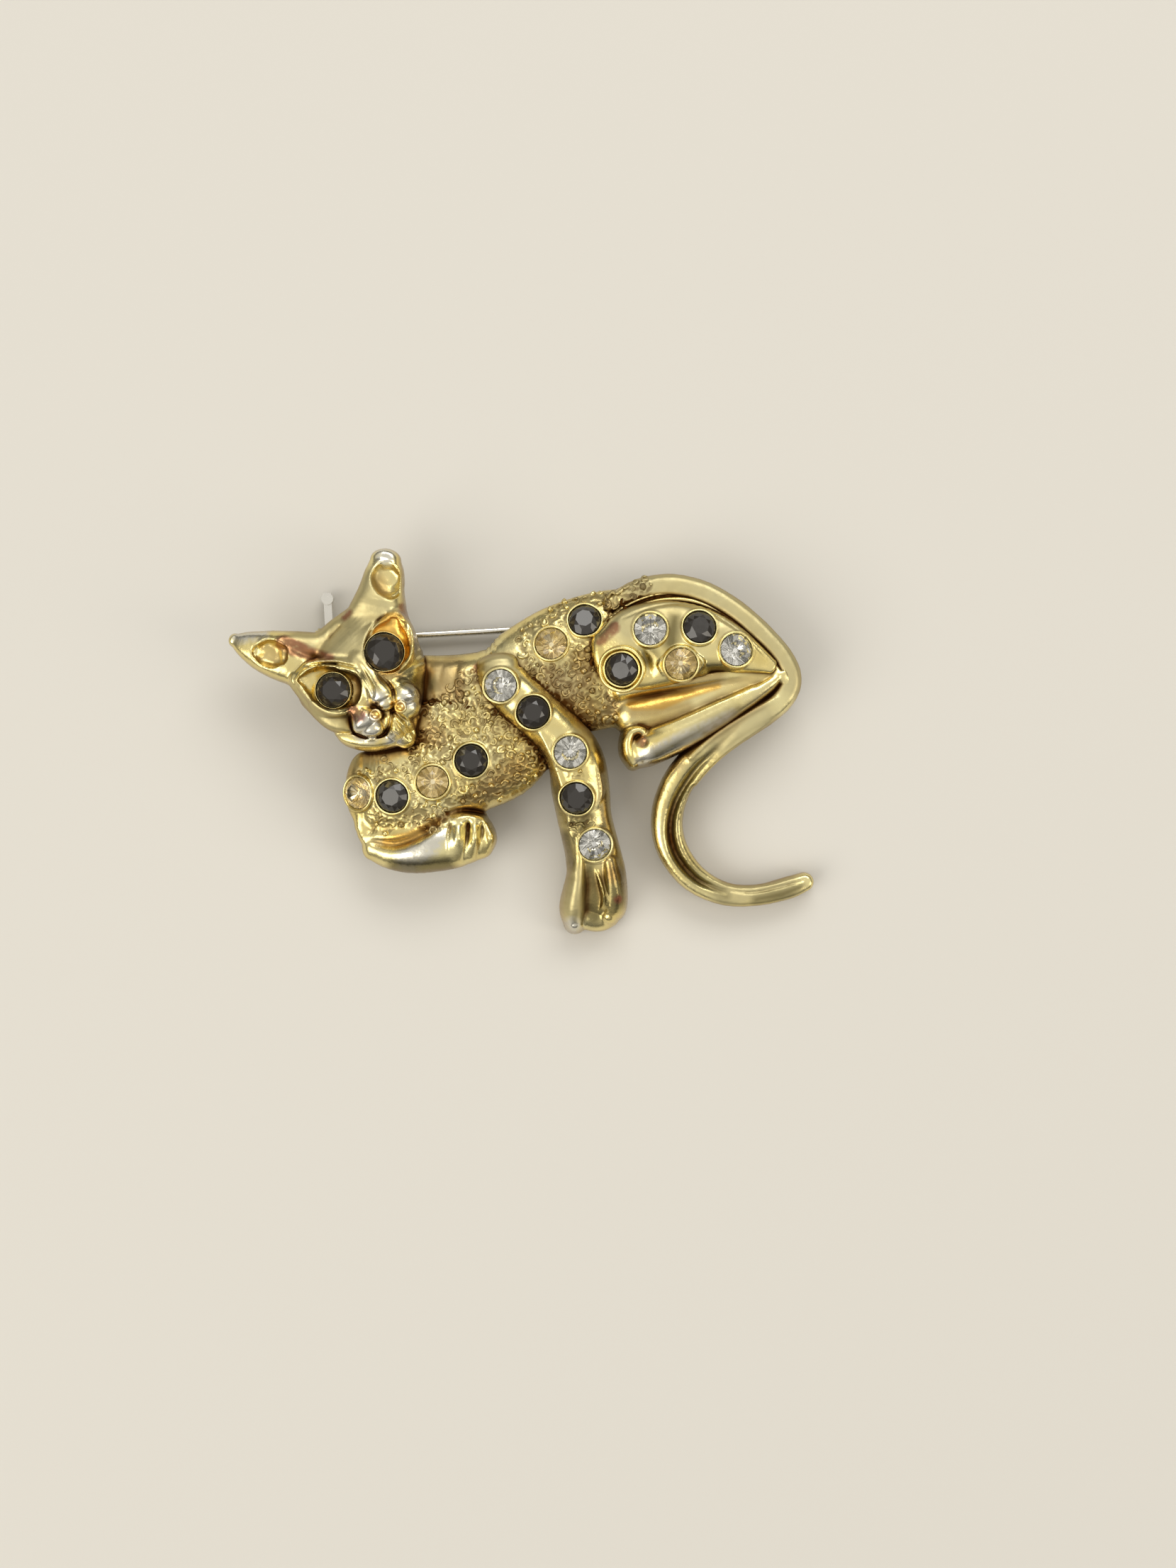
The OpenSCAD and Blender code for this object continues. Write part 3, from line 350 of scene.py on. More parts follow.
class Wax:
    """A block of sample points with a distance field in it: negative inside the metal."""

    def __init__(self, lo, hi, pitch):
        self.pitch = pitch
        self.lo = np.array(lo, float)
        count = np.ceil((np.array(hi, float) - self.lo) / pitch).astype(int) + 1
        self.axes = [self.lo[i] + pitch * np.arange(count[i]) for i in range(3)]
        self.field = np.full(count, FAR, np.float32)

    def window(self, lo, hi):
        """The slices of the block that hold a box."""
        cut = []
        for i in range(len(lo)):
            a = int(np.clip(np.floor((lo[i] - self.lo[i]) / self.pitch), 0, len(self.axes[i]) - 2))
            b = int(np.clip(np.ceil((hi[i] - self.lo[i]) / self.pitch) + 1, a + 2, len(self.axes[i])))
            cut.append(slice(a, b))
        return tuple(cut)

    def samples(self, centre, reach):
        """The slices round a point, and the offsets of their sample points from it."""
        cut = self.window(centre - reach, centre + reach)
        grid = np.meshgrid(*[self.axes[i][cut[i]] for i in range(3)], indexing="ij")
        return cut, np.stack(grid, -1) - centre

    def pour(self, where, dist, blend, cut_away):
        """Melts a field into the wax there, or cuts it away."""
        old = self.field[where]
        self.field[where] = -melt(-old, dist, blend) if cut_away else melt(old, dist, blend)

    def near_line(self, rows, reach):
        """For each sample column near a line: how far off it is, how far past an end, on which side, and its
        row of the table."""
        xy = rows[:, :2]
        cut = self.window(xy.min(0) - reach, xy.max(0) + reach)
        gx, gy = np.meshgrid(self.axes[0][cut[0]], self.axes[1][cut[1]], indexing="ij")
        best = np.full(gx.shape, 1e9)
        at, past, side = np.zeros((3,) + gx.shape)
        for i in range(len(xy) - 1):
            d = xy[i + 1] - xy[i]
            length = np.hypot(*d)
            d = d / length
            along = (gx - xy[i, 0]) * d[0] + (gy - xy[i, 1]) * d[1]
            off = (gy - xy[i, 1]) * d[0] - (gx - xy[i, 0]) * d[1]
            t = np.clip(along, 0, length)
            far = np.hypot(along - t, off)
            hit = far < best
            best = np.where(hit, far, best)
            at = np.where(hit, i + t / length, at)
            end = np.zeros(gx.shape)
            if i == 0:
                end = np.where(along < 0, along, end)
            if i == len(xy) - 2:
                end = np.where(along > length, along - length, end)
            past = np.where(hit, end, past)
            side = np.where(hit, off, side)
        low = np.clip(at.astype(int), 0, len(rows) - 2)
        f = (at - low)[..., None]
        return cut, best, past, side, rows[low] * (1 - f) + rows[low + 1] * f

    def form(self, table, boxy=1.0, cap=(1, 1), blend=0.3, cut_away=False):
        """Melts a lofted form into the wax, or cuts it away. Its top is half an ellipse, squarer where boxy is
        under 1, and its ends are rounded by cap, as shares of the half width."""
        rows = smooth_rows(table, 4)
        rows[:, :2] = place(rows[:, :2])
        rows[:, 2] *= SQUARE
        rows[:, 3:] = level(rows[:, 3:])
        reach = rows[:, 2].max() + blend + 3 * self.pitch
        cut, off, past, side, row = self.near_line(rows, reach)
        half = row[..., 2]
        ahead = np.where(past < 0, -past / cap[0], past / cap[1])
        u = np.where(past != 0, np.hypot(ahead, side), off) / half
        top, mid, low = (row[..., i, None] for i in (3, 4, 5))
        z = self.axes[2][None, None, :]
        up = z >= mid
        rise = np.where(up, top - mid, mid - low)
        v = (np.abs(z - mid) / rise).astype(np.float32)
        n = np.where(up, 2 / boxy, 2 / UNDER_BOXY).astype(np.float32)
        u = np.maximum(u[..., None], 1e-4).astype(np.float32)
        v = np.maximum(v, 1e-4)
        g = (u ** n + v ** n) ** (1 / n)
        slope = np.sqrt(((u / g) ** (n - 1) / half[..., None]) ** 2 + ((v / g) ** (n - 1) / rise) ** 2)
        dist = ((g - 1) / slope).astype(np.float32)
        self.pour(cut + (slice(None),), dist, blend, cut_away)

    def stroke(self, rows):
        """Draws a tool along a line: the field gives way by the tool's depth, where it faces up."""
        rows = smooth_rows(rows, 8)
        rows[:, :2] = place(rows[:, :2])
        cut, off, past, side, row = self.near_line(rows, 3 * rows[:, 2].max())
        depth = row[..., 3] * np.exp(-(off / row[..., 2]) ** 2)
        where = cut + (slice(None),)
        upward = np.clip(np.gradient(self.field[where], self.pitch, axis=2) * 2 + 0.4, 0, 1)
        self.field[where] += (depth[..., None] * upward).astype(np.float32)

    def ball(self, centre, r, blend, cut_away=False):
        """Melts in a ball, or cuts one away."""
        cut, p = self.samples(np.array(centre, float), r + 1)
        far = np.sqrt(p[..., 0] ** 2 + p[..., 1] ** 2 + p[..., 2] ** 2)
        self.pour(cut, (far - r).astype(np.float32), blend, cut_away)

    def peg(self, seat, r, low, high, blend, cut_away=False):
        """Melts in a round peg along a seat's own axis, or bores one out."""
        cut, p = self.samples(np.array(seat.translation), r + abs(low) + abs(high) + 1)
        q = p @ np.array(seat.to_3x3())
        radial = np.hypot(q[..., 0], q[..., 1]) - r
        ends = np.maximum(q[..., 2] - high, low - q[..., 2])
        self.pour(cut, np.maximum(radial, ends).astype(np.float32), blend, cut_away)

    def at(self, points):
        """The field at points, by the nearest sample; outside the block it is outside the metal."""
        index = np.rint((points - self.lo) / self.pitch).astype(int)
        inside = np.all((index >= 0) & (index < self.field.shape), axis=1)
        out = np.full(len(points), FAR, np.float32)
        i = index[inside]
        out[inside] = self.field[i[:, 0], i[:, 1], i[:, 2]]
        return out

    def skin(self):
        """Points and four-sided faces of the surface, by the middles of the cells that it crosses."""
        f = self.field
        f[0], f[-1], f[:, 0], f[:, -1], f[:, :, 0], f[:, :, -1] = (1,) * 6
        metal = f < 0
        corners = list(product((0, 1), repeat=3))
        size = tuple(n - 1 for n in f.shape)
        part = [metal[i:i + size[0], j:j + size[1], k:k + size[2]] for i, j, k in corners]
        count = sum(p.astype(np.int8) for p in part)
        cells = np.argwhere((count > 0) & (count < 8))
        number = np.full(size, -1, np.int32)
        number[tuple(cells.T)] = np.arange(len(cells))
        total = np.zeros((len(cells), 3))
        hits = np.zeros(len(cells))
        for a in corners:
            for axis in range(3):
                if a[axis]:
                    continue
                b = list(a)
                b[axis] = 1
                fa = f[tuple((cells + a).T)]
                fb = f[tuple((cells + b).T)]
                cross = (fa < 0) != (fb < 0)
                t = np.where(cross, fa / np.where(fa == fb, 1, fa - fb), 0)
                point = np.tile(np.array(a, float), (len(cells), 1))
                point[:, axis] = t
                total[cross] += point[cross]
                hits[cross] += 1
        points = self.lo + (cells + total / hits[:, None]) * self.pitch
        faces = []
        for axis in range(3):
            u, v = (axis + 1) % 3, (axis + 2) % 3
            first = np.moveaxis(metal, axis, 0)
            change = first[:-1] != first[1:]
            spots = np.argwhere(np.moveaxis(change, 0, axis))
            for side in (u, v):
                spots = spots[(spots[:, side] > 0) & (spots[:, side] < size[side])]
            step_u, step_v = np.eye(3, dtype=int)[[u, v]]
            quad = np.stack([number[tuple((spots - s).T)] for s in
                             (0 * step_u, step_u, step_u + step_v, step_v)], 1)
            out = metal[tuple(spots.T)]
            faces.append(np.where(out[:, None], quad, quad[:, ::-1]))
        return points, np.vstack(faces)


def melt(a, b, k):
    """The union of two fields, with a fillet k wide between them."""
    h = np.maximum(k - np.abs(a - b), 0) / k
    return np.minimum(a, b) - h * h * k / 4


rng = np.random.RandomState(SEED)
GRADIENTS = rng.normal(size=(512, 3))
GRADIENTS /= np.linalg.norm(GRADIENTS, axis=1)[:, None]
# Gradient noise is too low by about this much
CLOUD_RISE = 1.6


def corner_shares(f):
    """The eight corners of a cell, and the share that each has in a point at f in it."""
    for corner in product((0, 1), repeat=3):
        s = np.where(corner, f, 1 - f)
        yield corner, s[:, 0] * s[:, 1] * s[:, 2]


def cloud(points, size, seed):
    """Smooth noise of about -1 to 1 at points, with bumps about size across. Each corner of a cell has its own
    gradient, picked by mixing the corner's three numbers."""
    p = points / size
    base = np.floor(p).astype(np.int64)
    f = p - base
    out = np.zeros(len(p))
    for corner, share in corner_shares(f * f * f * (f * (f * 6 - 15) + 10)):
        c = base + corner
        key = (c[:, 0] * 73856093 ^ c[:, 1] * 19349663 ^ c[:, 2] * 83492791 ^ seed * 2654435761) & 0x7FFFFFFF
        out += share * np.sum(GRADIENTS[(key ^ (key >> 13)) % len(GRADIENTS)] * (f - corner), axis=1)
    return out * CLOUD_RISE


def seat_of(stone):
    """A stone's seat in millimetres, +Z out of the setting."""
    x, y = place((stone.x, stone.y))
    turn = Matrix.Rotation(math.radians(stone.lean), 4, "Z") @ Matrix.Rotation(math.radians(stone.tilt), 4, "Y")
    return Matrix.Translation((x, y, float(level(stone.level)))) @ turn


def wall_of(stone):
    """How thick a stone's collar is: the eyes have only a fine one."""
    return EYE_WALL if "eye" in stone.node else COLLAR_WALL


# A setting's wax stays this far inside its collar, and stops this far under the girdle; its bore is open above
COLLAR_LAP = 0.06
SETTING_TOP = -0.12
BORE_TOP = 4


def set_stones(wax, names):
    """Raises the settings of the stones of that name in the wax, then bores their cups."""
    mine = [stone for stone in STONES if stone.node.startswith(names)]
    for stone in mine:
        r = stone.diameter / 2 + STONE_GAP + wall_of(stone)
        wax.peg(seat_of(stone), r - COLLAR_LAP, -stone.diameter * PAVILION - SINK, SETTING_TOP, 0.2)
    for stone in mine:
        r = stone.diameter / 2 + STONE_GAP
        depth = stone.diameter * PAVILION + STONE_GAP
        wax.peg(seat_of(stone), r + COLLAR_LAP, -depth, BORE_TOP, 0.05, cut_away=True)


def engrave(wax, lines, z):
    """Draws lines that were read off the photograph, on a form that stands about z high."""
    for line in lines:
        wax.stroke(seen(line, z))


# The castings, which are soldered into one. Each is melted in a block of its own: its low corner, its high
# corner and the pitch of its samples
print("casting the head")
head = Wax((-29.6, -1.3, 2.6), (-9.4, 19.8, 11.6), 0.11)
head.form(SKULL, boxy=0.85, cap=(0.35, 0.6), blend=0.3)
head.form(FAR_EAR, boxy=0.6, cap=(0.2, 0.9), blend=0.9)
head.form(NEAR_EAR, boxy=0.6, cap=(0.2, 0.75), blend=0.9)
head.form(CHEEK, boxy=0.45, cap=(1, 0.35), blend=0.35)
head.form(JAW, boxy=0.7, blend=0.08)
head.form(CHIN, blend=0.25)
head.form(NOSE, blend=0.5)
head.form(FAR_EYE_RIM, cap=(0.8, 0.5), blend=0.4)
head.form(NEAR_EYE_RIM, cap=(0.8, 0.5), blend=0.4)
head.form(FAR_PAD, blend=0.25)
head.form(NEAR_PAD, blend=0.25)
head.form(FAR_EYE_RECESS, cap=(0.6, 0.6), blend=0.1, cut_away=True)
head.form(NEAR_EYE_RECESS, cap=(0.6, 0.6), blend=0.1, cut_away=True)
engrave(head, HEAD_STROKES, 10.0)
head.form(FAR_EAR_CUP, cap=(0.6, 0.6), blend=0.1, cut_away=True)
head.form(NEAR_EAR_CUP, cap=(0.6, 0.6), blend=0.1, cut_away=True)
# A knob on each whisker pad, hollowed on top
for x, y in place(seen([(-14.85, 3.05), (-12.35, 3.85)], 10.5)):
    head.ball((x, y, 10.75), 0.62, 0.15)
    head.ball((x, y, 11.25), 0.5, 0.12, cut_away=True)
set_stones(head, ("far_eye", "near_eye"))

print("casting the chest")
chest = Wax((-18.6, -13.3, 1.8), (5.2, 6.0, 8.2), 0.11)
chest.form(CHEST, cap=(0.5, 0.6), blend=0.3)
chest.form(THROAT, boxy=0.6, blend=0.8)
chest.form(PAW_BAND, boxy=0.8, blend=0.9)
chest.form(FOLDED_PAW, cap=(0.8, 0.8), blend=0.3)
for toe in PAW_TOES:
    chest.form(toe, blend=0.5)
engrave(chest, CHEST_STROKES, 6.0)
engrave(chest, PAW_STROKES, 5.5)
chest.form(CHEST_HOLLOW, blend=0.2, cut_away=True)
set_stones(chest, "chest")

print("casting the trunk")
trunk = Wax((-14.0, -3.2, 2.8), (27.4, 16.4, 8.6), 0.13)
trunk.form(TRUNK, blend=0.3)
trunk.form(SHIN, blend=0.3)
trunk.form(GUTTER, boxy=0.5, blend=0.1)
trunk.form(HAM, boxy=0.8, blend=0.5)
trunk.form(HIND_FOOT, boxy=0.8, cap=(0.6, 0.8), blend=0.2)
trunk.form(HIND_TOE, blend=0.12)
trunk.form(KNEE_WEB, boxy=0.6, blend=0.3)
# The dimple in the end of the hind foot
trunk.ball((*place((11.5, 0.35)), 7.7), 0.75, 0.15, cut_away=True)
engrave(trunk, NECK_STROKES, 6.5)
engrave(trunk, HAUNCH_STROKES, 7.0)
engrave(trunk, GUTTER_STROKES, 7.0)
trunk.form(TRUNK_HOLLOW, blend=0.2, cut_away=True)
set_stones(trunk, "back")

print("casting the thigh")
thigh = Wax((4.2, 3.9, 3.6), (25.6, 15.2, 10.0), 0.11)
thigh.form(THIGH, boxy=0.5, cap=(0.45, 0.6), blend=0.3)
engrave(thigh, THIGH_STROKES, 8.5)
set_stones(thigh, "thigh")

print("casting the foreleg")
leg = Wax((-6.4, -19.6, -0.3), (10.9, 11.0, 9.8), 0.12)
leg.form(FORELEG, boxy=0.8, cap=(0.5, 0.75), blend=0.3)
for toe in FORE_TOES:
    leg.form(toe, blend=0.25)
engrave(leg, LEG_STROKES, 6.0)
set_stones(leg, "leg")

print("casting the tail")
tail = Wax((6.6, -16.6, -0.3), (29.6, 17.6, 7.6), 0.13)
tail.form(RIM_TAIL, boxy=0.55, blend=0.3)
engrave(tail, TAIL_STROKES, 4.0)

CASTS = {"head": head, "chest": chest, "trunk": trunk, "thigh": thigh, "foreleg": leg, "tail": tail}

# How much metal surrounds each point: high in a crease, low on a ridge
ROOM = 0.25
room_lo = np.array([-30.5, -20.5, -1.5])
room_n = np.ceil((np.array([30.5, 20.5, 12.5]) - room_lo) / ROOM).astype(int)
spots = np.meshgrid(*[room_lo[i] + ROOM * np.arange(room_n[i]) for i in range(3)], indexing="ij")
spots = np.stack(spots, -1).reshape(-1, 3)
near = np.full(len(spots), FAR, np.float32)
for wax in CASTS.values():
    near = np.minimum(near, wax.at(spots))
full = np.clip(0.5 - near / ROOM, 0, 1).reshape(room_n)


def blurred(grid, reach):
    """The grid averaged over about reach samples each way."""
    out = grid.astype(np.float64)
    for axis in range(3):
        for _ in range(2):
            pad = [(0, 0)] * 3
            pad[axis] = (reach + 1, reach)
            total = np.cumsum(np.pad(out, pad, mode="edge"), axis=axis)
            a = np.take(total, range(2 * reach + 1, total.shape[axis]), axis=axis)
            b = np.take(total, range(0, total.shape[axis] - 2 * reach - 1), axis=axis)
            out = (a - b) / (2 * reach + 1)
    return out


def sampled(grid, points):
    """A grid of the room, read smoothly at points."""
    p = np.clip((points - room_lo) / ROOM, 0, np.array(grid.shape) - 1.001)
    base = p.astype(int)
    out = np.zeros(len(p))
    for corner, share in corner_shares(p - base):
        out += share * grid[tuple((base + corner).T)]
    return out


crowding_near = blurred(full, 1)
crowding_far = blurred(full, 4)

# Beaded ground, as patches, and patches that stay smooth in it
BEADED = {
    "chest": [(-14.6, -3.6, 3), (-13, -6.6, 2.4), (-11, -3, 3.4), (-8, -2, 4.2), (-4.5, -1, 4.6),
        (-1, -0.4, 3.8), (-9.6, -6.4, 2.2), (-6.4, 1.5, 3.2), (1, -1.4, 2.2), (-3, 3, 2.4), (-8.6, 3.6, 1.4)],
    "trunk": [(2.6, 9.6, 3.2), (5, 12.2, 3.2), (4, 6.8, 3.2), (7.6, 14.2, 2.6), (7, 3.6, 2.2), (0.6, 10.6, 1.6),
        (6.4, 9.6, 2.4), (-5.6, 3.4, 2), (-5.5, 6.4, 1), (-8.9, 4.3, 0.5, -6.6, 4.7, 1)],
    "tail": [(8, 14.2, 2), (10, 15.2, 1.8), (11.6, 15.6, 1)],
    "foreleg": [(5.6, -7.6, 1.4), (5, -3, 0.9)]}
PLAIN = {
    "chest": [(-15.2, -1, 1.5), (-17.6, -2.2, 1.2), (-12.6, -0.6, 1.2), (-12, -9.6, 1.6), (-14.8, -9.6, 1.6),
        (-16.9, -8, 1.3)]}


def patches(points, rows, soft=0.5):
    """How far points lie inside patches as seen from above, 0 to 1. Each row is a disc, x, y and radius, or
    a line that widens from disc to disc."""
    out = np.zeros(len(points))
    for row in rows:
        discs = np.array(row, float).reshape(-1, 3)
        discs[:, :2] = place(discs[:, :2])
        for a, b in zip(discs, discs[1:] if len(discs) > 1 else discs):
            d = b[:2] - a[:2]
            from_a = points[:, :2] - a[:2]
            t = np.clip(from_a @ d / max(d @ d, 1e-9), 0, 1)
            off = np.hypot(*(from_a - t[:, None] * d).T)
            out = np.maximum(out, np.clip((a[2] + t * (b[2] - a[2]) - off) / soft + 0.5, 0, 1))
    return out


# What time has done to the plating, and the light and shade painted on it, as patches: silvered places are rubbed
# down to the white metal and are partly painted highlights, coppery ones show the copper under the gold and are
# partly painted reddish shade and reflection, rubbed ones are pale, toned ones are partly tarnish and partly
# painted shade, browned ones are painted shade, and the gilded cups and hollows still have all of their gold
# Silvered patches are worn white metal and partly painted highlights, on the muzzle, the paw and a toe
SILVER_WEAR_AND_HIGHLIGHT = {
    "head": [(-15.3, 1.6, 1.4), (-14, 4.3, 0.9), (-10.9, 4.6, 1), (-12.7, 0.3, 0.8), (-13.6, 18.6, 0.9),
        (-27.9, 10.6, 0.6, -25.4, 10.9, 0.4)],
    "chest": [(-8.2, -8.9, 0.5, -9.4, -10, 1, -11.5, -11.3, 1.2)],
    "trunk": [(11.8, -1.6, 0.8, 14.4, -0.2, 0.9, 17.6, 1.6, 0.5, 20.4, 3.2, 0.2)],
    "foreleg": [(4.6, -18, 0.9)]}
RUBBED = {
    "head": [(-17.6, 10.6, 3, -15.4, 12.6, 3, -15, 16, 1.2), (-21.4, 10.2, 1.6), (-16.2, 9.6, 2),
        (-22.6, 4.6, 1.2, -20.6, 2.6, 1.4, -18.4, 2, 1), (-18.4, 1.3, 0.4)],
    "chest": [(-17, -1.4, 0.8, -13.4, -1.2, 0.7)],
    "trunk": [(16, 0.9, 1, 20, 3.1, 0.9), (-8.4, 6.4, 1.6)],
    "thigh": [(10.6, 12, 2, 14, 13, 3), (20.5, 11.4, 1.8)],
    "foreleg": [(-2.6, 8.2, 1.6), (4.8, -12.5, 1, 4.8, -16, 1.4), (5.9, 0.9, 1.2)],
    "tail": [(12, 16, 2.6, 16, 16, 2.6, 20, 14.4, 2.6, 24, 11, 2.6, 26.6, 7, 2.4),
        (23, 2.6, 1.8, 19.4, 0.4, 1.4), (20, -14.6, 1.6, 26, -13.6, 1.4)]}
# Coppery patches show the copper under the gold, and are partly painted reddish shade and reflection
COPPER_AND_RED_SHADE = {
    "head": [(-23.5, 10, 0.7, -22.2, 9.4, 0.8, -20.8, 8.9, 0.6, -18.7, 8.5, 0.35),
        (-16.6, 3.5, 0.5, -16, 2.9, 0.8), (-17.6, 12.4, 0.25, -17, 12.9, 0.3),
        (-11.8, 13.4, 0.4, -11.4, 12.8, 0.4)],
    "trunk": [(11.5, 0.4, 0.6), (-4.6, 7.6, 0.5)],
    "thigh": [(7.4, 10.1, 0.4, 8.8, 11.5, 0.55)],
    "foreleg": [(9.2, -15.2, 0.4)]}
# Toned patches are partly olive tarnish and partly painted shade on the low, shaded sides of forms
TARNISH_AND_SHADE_PATCHES = {
    "head": [(-17.2, 3.6, 0.5, -17, 2.4, 0.5), (-15.6, 6.4, 0.7), (-14, 6.2, 0.7),
        (-11.8, 6.6, 0.8, -10.6, 6, 0.8)],
    "chest": [(-12.6, -12.2, 1, -10.4, -12.6, 1.4, -8, -12.2, 1.2)],
    "trunk": [(-9.8, 6.2, 1.3), (-6.6, 7.4, 0.3, -6.4, 5.4, 0.3), (13, -0.9, 0.5, 16.6, 1.1, 0.3, 21, 3.7, 0.1)],
    "thigh": [(12, 8.6, 1), (17, 7.5, 0.8, 19.8, 7.3, 0.7), (14.3, 10, 0.7, 14.7, 12.4, 0.5)],
    "foreleg": [(6.4, -12, 0.5, 6.6, -14, 0.8, 6.7, -17, 0.9), (8.8, -13, 1.2, 8.9, -15.2, 1.2),
        (5.4, -7.5, 1.3), (4, -9, 0.7, 4.6, -11.5, 0.6)],
    "tail": [
        (18.8, -0.4, 0.3, 16.6, -2.7, 0.65, 15, -5.6, 0.75, 14.5, -8.4, 0.75, 15.2, -11.1, 0.75, 17.2, -13.4, 0.6,
         20, -14.9, 0.3),
        (23, -15.3, 0.4, 25.6, -14.8, 0.55, 27.4, -14.1, 0.4)]}
# Browned patches are painted shade: brown where the metal lies in shade, as on the neck under the head
PAINTED_SHADE_PATCHES = {
    "head": [(-16.6, 6, 0.7, -16.2, 4.8, 0.6), (-13.6, 6.6, 0.6, -12.4, 6.9, 0.6)],
    "chest": [(-5.4, -5.6, 1, -2.4, -3.7, 1.3, -0.6, -2, 1.2), (-10, 2.2, 1, -8.8, 0.8, 1.1),
        (-17.2, -2.6, 0.8),
        (-14.8, -9.6, 0.5, -13, -9.7, 0.6, -11.4, -9.2, 0.6, -8.5, -7.4, 0.5, -6, -6.5, 0.5, -4.4, -6.7, 0.4)],
    "trunk": [(-9, 7.8, 1.1), (-7.2, 7.6, 1.5, -7.2, 4.6, 1.5), (-9, 4.2, 1), (5.6, 8.4, 1, 5.8, 6.4, 1.2),
        (2.6, 7, 1, 4.4, 5, 1.2, 6, 3.4, 1.4, 7.4, 1.6, 1.4), (8.6, 3.6, 1.2),
        (11, 5.9, 0.8, 14, 6.1, 0.9, 19, 6.9, 0.7), (10.6, 3.1, 0.6, 13, 3.3, 0.6, 16, 4, 0.4),
        (18, 1, 0.5, 21.6, 3.2, 0.6, 24.9, 5.8, 0.5)],
    "tail": [(23.2, 4.2, 0.4, 19.4, 2, 0.6, 17.2, 0.4, 0.5, 14.6, -2.6, 0.4), (13.4, -4.4, 0.6, 12.8, -7, 0.6),
        (8.2, 13.2, 1)],
    "foreleg": [(7.6, -2.2, 0.5, 7.9, -7.2, 0.6, 7.9, -9.6, 0.9, 8.6, -12.6, 0.9)]}
EAR_CUPS = [(-25.6, 9.05, 1.3, -24.2, 8.85, 1.4), (-13.45, 17, 1.5, -13, 15.6, 1.5)]
EYE_CUP = (-12.7, 11.6, 1.3, -12.9, 9.8, 2.1, -13.3, 8.6, 1.9)
GILDED = {
    "head": [EYE_CUP, (-14.5, 2.9, 0.7), (-12.2, 3.7, 0.7)],
    "chest": [(-13.6, -9.5, 0.5, -11.4, -9.1, 0.6, -8.6, -7.5, 0.4)],
    "trunk": [(10.8, 4.2, 0.8, 13.4, 4.5, 1, 15.6, 5, 0.6, 19, 5.8, 0.3)],
    "foreleg": [(1, 8.4, 0.6, 3, 6.4, 0.9, 4.6, 4.4, 0.9, 6.2, 2.6, 0.8)]}
# Cups and recesses that are left rough, as they were cast
PEBBLED = {"head": EAR_CUPS + [EYE_CUP, (-20.4, 6, 1.7, -18.2, 5.4, 2.2)]}


def stood(name, data):
    """A new object in the scene."""
    made = bpy.data.objects.new(name, data)
    bpy.context.scene.collection.objects.link(made)
    return made


def mesh_of(name, points, faces, smooth=True):
    """A mesh object in metres, standing at the origin."""
    mesh = bpy.data.meshes.new(name)
    if isinstance(faces, np.ndarray):
        faces = faces.tolist()
    mesh.from_pydata((np.asarray(points) * MM).tolist(), [], faces)
    mesh.validate()
    if smooth:
        mesh.shade_smooth()
    return stood(name, mesh)


def mark(made, name, values):
    """Keeps one value for each point of a mesh, for its finish to read."""
    layer = made.data.attributes.new(name, "FLOAT", "POINT")
    layer.data.foreach_set("value", np.asarray(values, np.float32))


def normals_of(made):
    """Which way a mesh faces at each of its points."""
    out = np.zeros(len(made.data.vertices) * 3)
    made.data.vertices.foreach_get("normal", out)
    return out.reshape(-1, 3)


# The relief of the skin: how broad its bumps are and how high. The ground is worked into a squirming pattern,
# the rest is rubbed nearly smooth, and the pebbled cups and the back are as rough as they were cast
SQUIRM = 0.62
SQUIRM_FINE = 0.33
GROUND_H = 0.08
WAVE = 2.6
WAVE_H = 0.02
PEBBLE = 0.9
SMOOTH_H = 0.012
PEBBLED_H = 0.1
BACK_H = 0.03
# The ground comes in over this much past a collar, and old polish sits in a seam round it
GROUND_CLEAR = 0.3
SEAM_AT = 0.04
SEAM_W = 0.16
# How far off the skin the metal round it is felt, for fine creases and for broad hollows
FEEL_NEAR = 0.12
FEEL_FAR = 0.3


